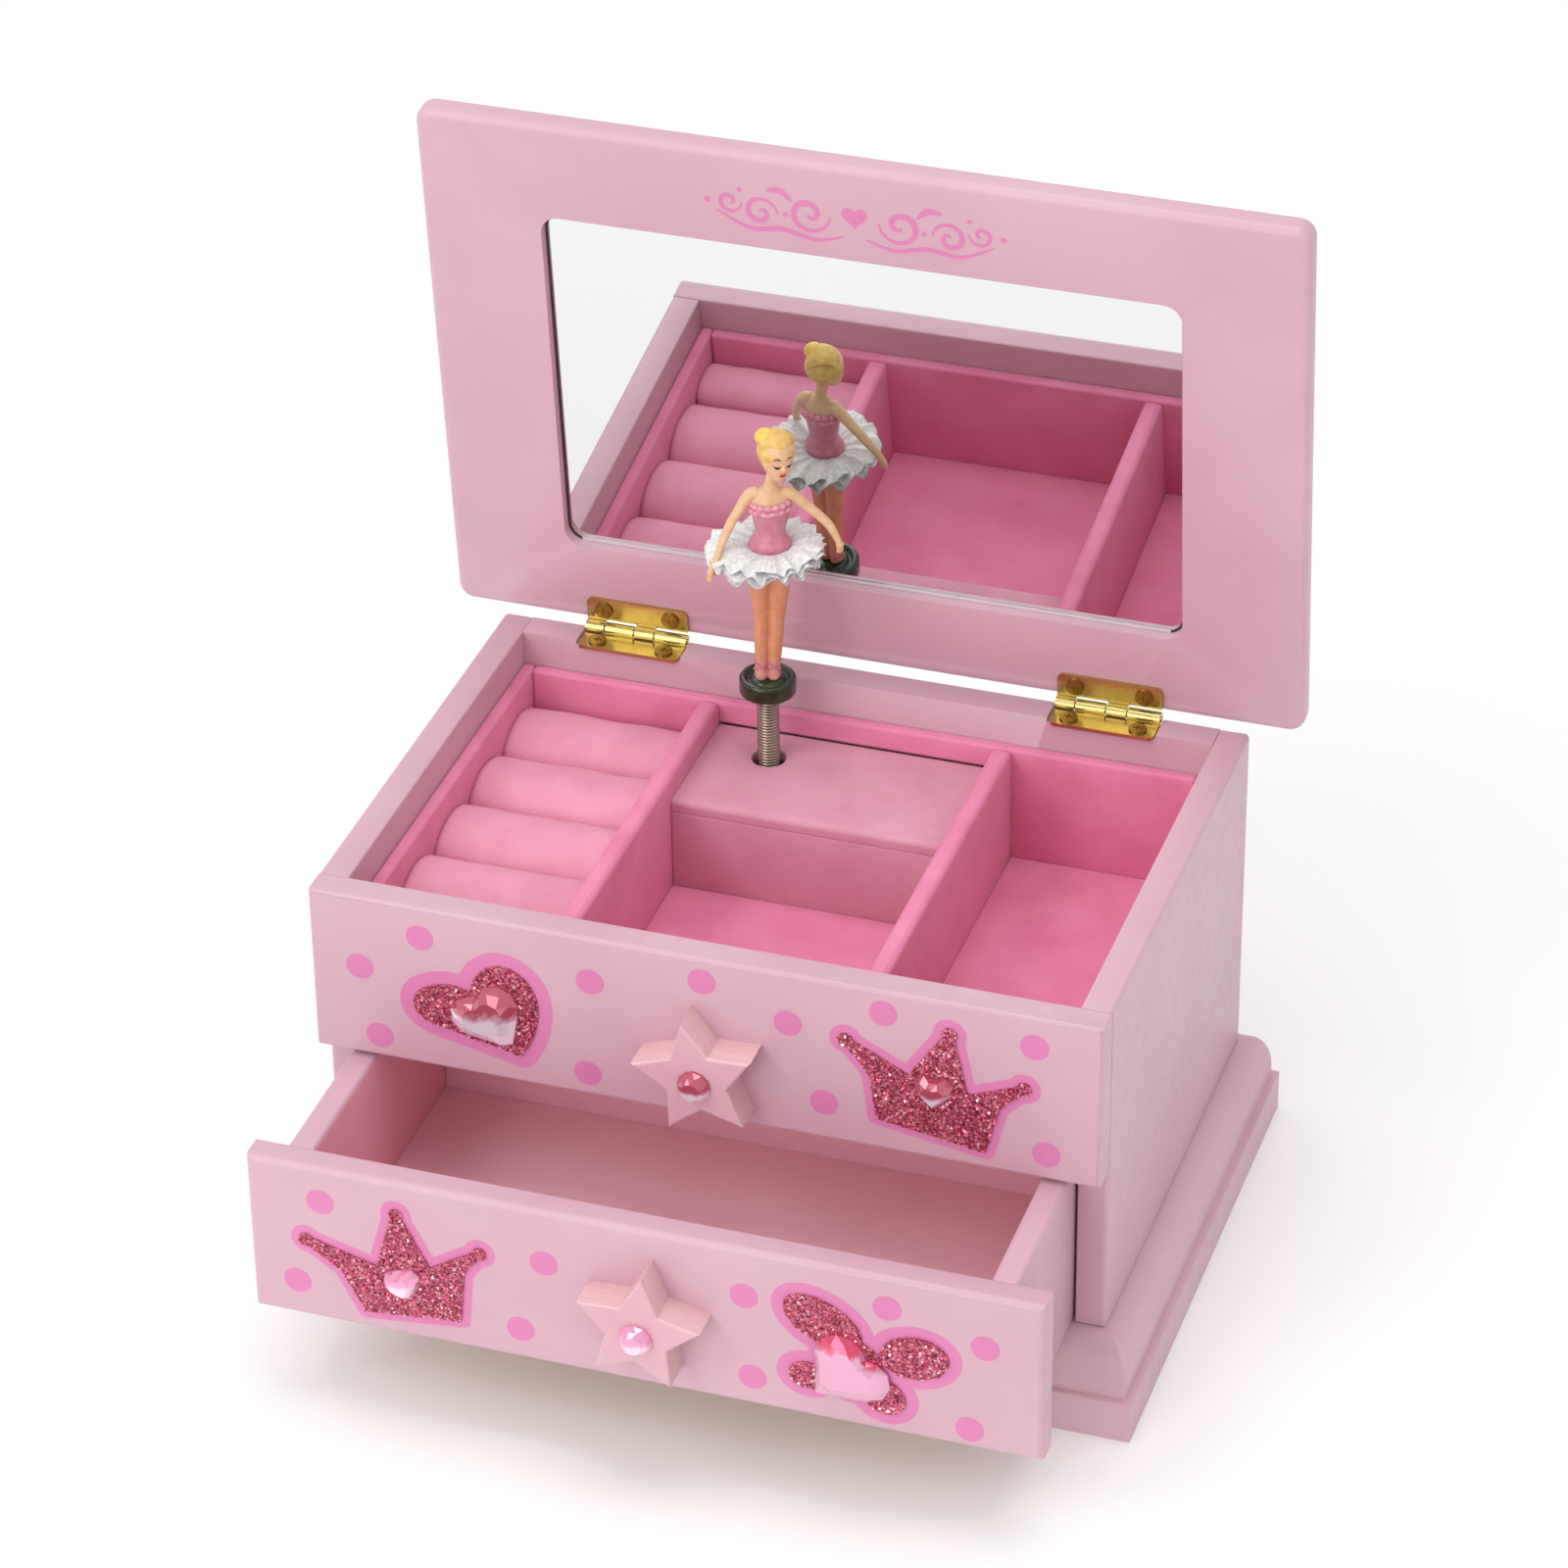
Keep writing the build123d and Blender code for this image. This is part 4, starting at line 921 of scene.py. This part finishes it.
def coil_spring():
    """The dancer's spring: close coils of fine wire."""
    low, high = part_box("ballerina_spring")
    wire_r = 0.285
    radius = (high.x - low.x) / 2 / MM - wire_r
    foot, head = low.z / MM + wire_r, high.z / MM - wire_r
    pitch, below, above = 0.6, 6.7, 2.9
    turns = (head - foot) / pitch
    steps = int(turns * 26)
    path = []
    for i in range(steps + 1):
        angle = 2 * pi * turns * i / steps
        rise = foot + (head - foot) * i / steps
        path.append(on_axis + mm(radius * cos(angle), radius * sin(angle), rise))
    verts, faces = tube_data(path, wire_r * MM, sides=8)
    obj = piece("coil_spring", verts, faces, spring_steel, None)
    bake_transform(obj)
    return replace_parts(obj, "ballerina_spring")


dished_disc()
coil_spring()

# -------- dancer

figure_turn = radians(18.8)
stand = Matrix.Translation(on_axis + mm(0, 0, disc_top - dish_depth))
stand = stand @ Matrix.Rotation(figure_turn, 4, "Z")


def posed(point):
    """Where a point of the dancer, in the figure's own mm, stands in the world.

    The waist is lifted a little, from the knees up, and the trunk above it is shortened.
    """
    knee, waist, trunk, lift, shorter = 12, 26, 14, 0.9, 2.3
    x, y, z = point
    if z > waist:
        z = z + lift - shorter * min(1, (z - waist) / trunk)
    else:
        z += lift * max(0, (z - knee) / (waist - knee))
    return stand @ (Vector((x, y, z)) * MM)


def ovals(rows, sides=28, steps=5):
    """A closed soft body through oval sections; a row is (x, y, z, half width, half depth) in mm."""
    rings = smooth_line(rows, steps)
    verts = []
    for x, y, z, wide, deep in rings:
        verts += [Vector((x + wide * c, y + deep * s, z)) for c, s in circle(sides)]
    return verts, bands(len(rings), sides, capped=True)


def ball(centre, wide, deep, tall, sides=28):
    """An oval ball in mm."""
    rows = []
    for k in range(15):
        angle = -pi / 2 + pi * k / 14
        share = max(cos(angle), 0.02)
        rows.append((centre[0], centre[1], centre[2] + tall * sin(angle), wide * share, deep * share))
    return ovals(rows, sides, 1)


def limb(points, radii):
    """A round limb along a smooth path, in mm."""
    rows = smooth_line([(*p, r) for p, r in zip(points, radii)], 6)
    return tube_data([Vector(row[:3]) for row in rows], [row[3] for row in rows], sides=16)


def placed(part, matrix):
    """A part moved by a matrix."""
    return [matrix @ Vector(v) for v in part[0]], part[1]


def doll_piece(name, data, mat):
    """A painted part of the dancer, from its vertices and faces."""
    return piece(name, *data, mat, "ballerina")


def moulded(name, parts, mat, voxel=0.15, rounds=5):
    """Parts cast as one: run together, then softened as a moulding is. Returns the object and its tree."""
    verts, faces = joined(parts)
    mesh = bpy.data.meshes.new(name + "_blank")
    mesh.from_pydata([tuple(v) for v in verts], [], faces)
    blank = linked(name + "_blank", mesh)
    cast = blank.modifiers.new("cast", "REMESH")
    cast.mode = "VOXEL"
    cast.voxel_size = voxel
    soft = blank.modifiers.new("soft", "SMOOTH")
    soft.factor = 0.5
    soft.iterations = rounds
    shape = blank.evaluated_get(bpy.context.evaluated_depsgraph_get()).to_mesh()
    verts = [v.co.copy() for v in shape.vertices]
    faces = [tuple(f.vertices) for f in shape.polygons]
    bpy.data.objects.remove(blank)
    tree = BVHTree.FromPolygons(verts, faces)
    return doll_piece(name, ([posed(v) for v in verts], faces), mat), tree


def leg(side):
    """One leg from ankle to hip."""
    rows = []
    for z, out, r in (
        (0.9, 1.0, 0.98), (2.6, 1.06, 1.0), (5.5, 1.2, 1.2), (9.5, 1.3, 1.38), (12.5, 1.36, 1.4),
        (16.0, 1.56, 1.66), (20.5, 1.76, 1.88), (26.5, 1.9, 2.0),
    ):
        rows.append((side * out + 0.03 * z, 0, z, r, r))
    return ovals(rows)


def hand(at, along, spread, curl):
    """A small hand: a flat palm and four fingers held together, with the thumb apart."""
    at, along = Vector(at), Vector(along).normalized()
    across = (Vector(spread) - along * along.dot(Vector(spread))).normalized()
    bend = Vector(curl)
    parts = [limb([at, at + along * 0.9, at + along * 1.6], (0.5, 0.66, 0.55))]
    for k in range(4):
        root = at + along * 1.3 + across * (0.27 * (k - 1.5))
        reach = 1.5 - 0.2 * abs(k - 1.4)
        finger = [root, root + along * reach * 0.6, root + along * reach + bend]
        parts.append(limb(finger, (0.27, 0.25, 0.2)))
    thumb = at + along * 0.4 - across * 0.5
    parts.append(limb([thumb, thumb + along * 0.7 - across * 0.35], (0.26, 0.2)))
    return joined(parts)


skin = doll_finish("doll_skin", (224, 186, 146), (214, 172, 130))
leg_tights = doll_finish("doll_tights", (220, 158, 118), (210, 146, 106))
satin = doll_finish("doll_satin", (206, 132, 146), (194, 116, 134), 0.36)
shoe_satin = doll_finish("doll_shoes", (222, 152, 136), (206, 128, 122), 0.4)
frill_pink = doll_finish("doll_frill", (224, 158, 172), (212, 140, 156))
blond = doll_finish("doll_hair", (226, 190, 112), (206, 160, 84), 0.38)
yellow = doll_finish("doll_bun", (236, 206, 100), (222, 184, 76), 0.34)
brown_line = doll_finish("doll_brows", (136, 92, 46), (118, 78, 38))
dark_line = doll_finish("doll_eyes", (58, 36, 30), (40, 26, 22))
red_lips = doll_finish("doll_lips", (204, 40, 52), (190, 32, 46))

head_place = (
    Matrix.Translation(Vector((2.0, -0.5, 47.35)))
    @ Matrix.Rotation(radians(24), 4, "Z")
    @ Matrix.Rotation(radians(2), 4, "X")
    @ Matrix.Rotation(radians(3), 4, "Y")
    @ Matrix.Diagonal((1, 1, 1.06, 1))
)
face_rows = [
    (0, -1.75, -3.75, 0.5, 0.5), (0, -1.6, -3.35, 1.15, 1.15), (0, -1.15, -2.5, 1.85, 1.95),
    (0, -0.65, -1.4, 2.5, 2.7), (0, -0.25, -0.2, 2.9, 3.15), (0, 0, 1.2, 3.1, 3.4),
    (0, 0.05, 2.4, 2.9, 3.15), (0, 0.1, 3.2, 2.2, 2.5), (0, 0.1, 3.6, 1.2, 1.4),
]
nose = limb([(0, -3.0, 0.5), (0, -3.4, -0.4), (0, -3.55, -0.95), (0, -3.0, -1.15)], (0.2, 0.28, 0.36, 0.3))
head = placed(joined([ovals(face_rows), nose]), head_place)

upper_body = ovals(
    [
        (0.55, 0, 33.5, 2.6, 2.1), (0.75, 0, 36.8, 3.1, 2.3), (0.85, 0.1, 38.6, 3.35, 2.0),
        (0.92, 0.15, 39.9, 3.0, 1.5), (0.98, 0.15, 40.8, 1.7, 1.25), (1.05, 0.1, 41.8, 1.12, 1.1),
        (1.3, 0.0, 43.2, 1.08, 1.08), (1.6, -0.1, 45.0, 1.2, 1.2),
    ]
)
left_arm = limb(
    [(-1.2, 0.2, 39.7), (-2.7, 0.1, 39.3), (-4.6, -0.7, 36.2), (-6.7, -2.0, 32.2), (-9.3, -4.9, 25.2)],
    (1.2, 1.22, 0.98, 0.86, 0.56),
)
right_arm = limb(
    [(3.0, 0.2, 39.8), (4.5, 0.1, 39.4), (7.7, -0.1, 36.2), (11.1, -0.5, 32.3), (12.9, -1.3, 28.4)],
    (1.2, 1.22, 0.98, 0.86, 0.58),
)
left_hand = hand((-9.3, -4.9, 25.4), (-0.35, -0.3, -1.0), (1, -0.6, 0), (0.15, 0.1, 0))
right_hand = hand((12.85, -1.25, 28.7), (0.12, -0.12, -1.0), (-1, -0.3, 0), (-0.3, 0, 0))
torso, skin_tree = moulded(
    "dancer_body", [upper_body, left_arm, right_arm, left_hand, right_hand, head], skin
)
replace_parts(torso, "ballerina_figure")
moulded("dancer_legs", [leg(-1), leg(1)], leg_tights, 0.16, 3)

bodice_parts = [
    ovals(
        [
            (0.7, 0, 25.0, 2.6, 2.3), (0.75, 0, 26.4, 3.5, 3.0), (0.8, 0, 27.9, 3.85, 3.3),
            (0.8, 0, 29.4, 3.2, 2.75), (0.82, 0, 31.0, 2.8, 2.35), (0.85, -0.05, 33.4, 3.1, 2.6),
            (0.9, -0.1, 35.9, 3.4, 2.9), (0.92, -0.05, 37.4, 3.4, 2.7), (0.93, 0, 38.0, 3.2, 2.4),
        ]
    ),
    ball((-0.6, -1.75, 36.3), 1.3, 1.25, 1.35),
    ball((2.4, -1.75, 36.5), 1.3, 1.25, 1.35),
]
moulded("dancer_bodice", bodice_parts, satin, 0.16, 4)


def frill(name, centre, wide, deep, lobes, radius):
    """A gathered trim round an edge: a ring of small soft puffs."""
    path = []
    steps, slope = lobes * 12, 0.1
    for i in range(steps):
        angle = 2 * pi * i / steps
        puff = 0.5 + 0.5 * cos(lobes * angle)
        x, y = (wide + 0.12 * puff) * cos(angle), (deep + 0.12 * puff) * sin(angle)
        z = centre[2] + slope * x + 0.2 * puff
        path.append(posed((centre[0] + x, centre[1] + y, z)))
    widths = [radius * MM * (0.84 + 0.16 * cos(lobes * 2 * pi * i / steps)) for i in range(steps)]
    doll_piece(name, tube_data(path, widths, 10, closed=True), frill_pink)


frill("bodice_frill", (0.93, -0.05, 37.5), 3.2, 2.5, 15, 0.58)
frill("bust_frill", (0.93, -0.12, 36.2), 3.3, 2.75, 13, 0.5)


def slipper(side):
    """One satin ballet slipper, on its toes in the dish."""
    return ovals(
        [
            (side * 1.1, -0.45, 0.82, 1.0, 1.3), (side * 1.14, -0.4, 1.3, 1.2, 1.55),
            (side * 1.14, -0.2, 2.2, 1.2, 1.4), (side * 1.14, 0, 3.2, 1.16, 1.24),
            (side * 1.16, 0, 4.1, 1.16, 1.16), (side * 1.2, 0, 4.6, 1.2, 1.18),
        ]
    )


moulded("dancer_slippers", [slipper(-1), slipper(1)], shoe_satin, 0.13, 2)


def ankle_ribbons():
    """Crossed ribbons round each ankle."""
    parts = []
    for side in (-1, 1):
        for lean in (-1, 1):
            path = []
            for k in range(13):
                angle = pi + pi * k / 12
                x = side * 1.14 + 1.3 * cos(angle)
                z = 3.4 + lean * 0.9 * cos(angle)
                path.append(posed((x, 1.36 * sin(angle), z)))
            parts.append(tube_data(path, 0.13 * MM, 8))
    doll_piece("ankle_ribbons", joined(parts), satin)


ankle_ribbons()


def hair():
    """Hair drawn up and back in soft waves, with the bun behind."""
    cap = ball((0, 0.22, 1.05), 3.36, 3.58, 2.95, 40)
    locks = []
    for k in range(15):
        side = (k - 7) / 7
        path = []
        for j in range(7):
            share = j / 6
            lift = radians(28 + 128 * share)
            spread = radians(84) * side * (1 - share * 0.75)
            x = 3.5 * sin(spread) * (0.35 + 0.65 * sin(lift))
            y = 0.35 - 3.6 * cos(lift) * cos(spread)
            z = 1.15 + 3.3 * sin(lift) * cos(spread * 0.9)
            path.append((x, y, z))
        locks.append(limb(path, (0.16, 0.3, 0.34, 0.34, 0.34, 0.3, 0.2)))
    parts = [placed(part, head_place) for part in [cap, *locks]]
    moulded("dancer_hair", parts, blond, 0.14, 2)
    middle = Vector((0.1, -0.1, 51.1))
    coil = []
    for k in range(52):
        share = k / 51
        angle = share * 5 * pi
        r = 1.45 * (1 - share * 0.8)
        coil.append(middle + Vector((r * cos(angle), r * sin(angle) * 0.8, share * 1.5 - 0.35)))
    twist = tube_data(coil, [0.5 - 0.2 * k / 51 for k in range(52)], 12)
    moulded("dancer_bun", [ball(middle, 1.8, 1.75, 1.6), twist], yellow, 0.13, 2)


hair()


def on_face(x, z):
    """The point on the face at that spot, seen from in front, in the dancer's own mm."""
    source = head_place @ Vector((x, -8, z))
    toward = (head_place.to_3x3() @ Vector((0, 1, 0))).normalized()
    spot, normal, _, _ = skin_tree.ray_cast(source, toward)
    return spot + normal * 0.03, normal


def face_stroke(name, strokes, mat):
    """Painted strokes on the face; a stroke is a list of (x, z, half height)."""
    parts = []
    for stroke in strokes:
        rows = smooth_line(stroke, 4)
        verts, faces = [], []
        for x, z, tall in rows:
            for dz in (-tall, 0.0, tall):
                verts.append(on_face(x, z + dz)[0])
        for i in range(len(rows) - 1):
            for k in range(2):
                a, b = 3 * i + k, 3 * (i + 1) + k
                faces.append((a, b, b + 1, a + 1))
        parts.append(([posed(v) for v in verts], faces))
    doll_piece(name, joined(parts), mat)


def both_sides(stroke):
    """A stroke given for one half of the face, on each half."""
    return [[(side * x, z, tall) for x, z, tall in stroke] for side in (-1, 1)]


lash = [(0.5, -0.2, 0.05), (0.85, -0.42, 0.19), (1.3, -0.42, 0.22), (1.75, -0.12, 0.06)]
brow = [(0.5, 0.85, 0.08), (0.95, 1.15, 0.17), (1.4, 1.15, 0.16), (1.8, 0.9, 0.07)]
lips = [(-0.66, -2.0, 0.06), (-0.3, -1.98, 0.3), (0, -2.05, 0.26), (0.3, -1.98, 0.3), (0.66, -2.0, 0.06)]
face_stroke("dancer_lashes", both_sides(lash), dark_line)
face_stroke("dancer_brows", both_sides(brow), brown_line)
face_stroke("dancer_lips", [lips], red_lips)

# -------- tutu

tutu_net = net_finish()


def net_layer(index, height, reach, droop, lobes):
    """One gathered ring of net: flat at the hips, ruffled towards its scalloped edge."""
    rings, around = 15, 384
    waist_x, waist_r = 0.72, 3.1
    verts = []
    for i in range(rings + 1):
        share = i / rings
        for k in range(around):
            angle = 2 * pi * k / around
            drift = noise.noise(Vector((cos(angle) * 2.2, sin(angle) * 2.2, index * 5.1)))
            wave = lobes * angle + index * 1.7 + drift * 2.6
            fold = sin(wave)
            crimp = noise.noise(Vector((cos(angle) * 14, sin(angle) * 14, share * 2 + index * 3.3)))
            edge = reach * (0.92 + 0.08 * abs(sin(wave / 2)) + 0.02 * crimp)
            r = waist_r + (edge - waist_r) * share
            lift = (0.78 * fold + 0.34 * crimp) * share**0.8
            bow = 1.1 * sin(pi * min(share * 0.9, 1))
            z = height + bow - droop * share**2 + lift
            tilt = 0.035 * r * cos(angle)
            x = waist_x + r * cos(angle) - waist_x * share
            verts.append(posed((x, r * sin(angle), z + tilt)))
    obj = piece(f"tutu_layer_{index}", verts, bands(rings + 1, around), tutu_net, "ballerina")
    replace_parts(obj, "ballerina_tutu")
    return obj


net_layer(0, 26.8, 10.6, 0.1, 15)
net_layer(1, 26.1, 10.9, 0.5, 17)
net_layer(2, 25.4, 10.3, 1.0, 14)

# -------- floor, light and camera

floor_paper = Finish("floor_paper", (247, 246, 246), 0.75)
floor_paper.mottle(3, 3, (0.3, (246, 245, 245)), (0.7, (249, 248, 248)))
floor_corners = [(-3, -3, 0), (3, -3, 0), (3, 3, 0), (-3, 3, 0)]
floor = piece("floor", floor_corners, [(0, 1, 2, 3)], floor_paper.mat, None)

world = bpy.data.worlds.new("studio")
bpy.context.scene.world = world
world.use_nodes = True
world.node_tree.nodes["Background"].inputs["Color"].default_value = (0.97, 0.98, 1, 1)
world.node_tree.nodes["Background"].inputs["Strength"].default_value = 0.8


def soft_light(name, place, aim, size, watts, colour=(1, 1, 1)):
    """A square soft box."""
    data = bpy.data.lights.new(name, "AREA")
    data.size = size
    data.energy = watts
    data.color = colour
    obj = linked(name, data)
    obj.location = place
    obj.rotation_euler = (Vector(aim) - Vector(place)).to_track_quat("-Z", "Y").to_euler()


soft_light("key", (-0.85, -1.0, 1.3), (0, 0, 0.06), 0.7, 5.9, (1, 0.985, 0.965))
soft_light("front", (-0.35, -1.35, 0.5), (0, 0, 0.06), 0.8, 5.2)
soft_light("top", (0.1, -0.05, 1.3), (0, 0, 0.06), 0.7, 5.4)

aim = Vector((-0.0072, 0.01946, 0.07645))
distance = 1.031143
azimuth, elevation, roll = radians(18.77743), radians(32.70452), radians(-0.78993)
back = Vector((sin(azimuth) * cos(elevation), -cos(azimuth) * cos(elevation), sin(elevation)))
level_right = Vector((cos(azimuth), sin(azimuth), 0))
level_up = back.cross(level_right)
right = level_right * cos(roll) + level_up * sin(roll)
up = level_up * cos(roll) - level_right * sin(roll)
camera_data = bpy.data.cameras.new("camera")
camera_data.sensor_width = 36
camera_data.lens = 133.02
camera_data.clip_start = 0.05
camera_data.clip_end = 20
camera = linked("camera", camera_data)
turn = Matrix((right, up, back)).transposed().to_4x4()
camera.matrix_world = Matrix.Translation(aim + back * distance) @ turn
bpy.context.scene.camera = camera
bpy.context.scene.view_settings.view_transform = "Standard"
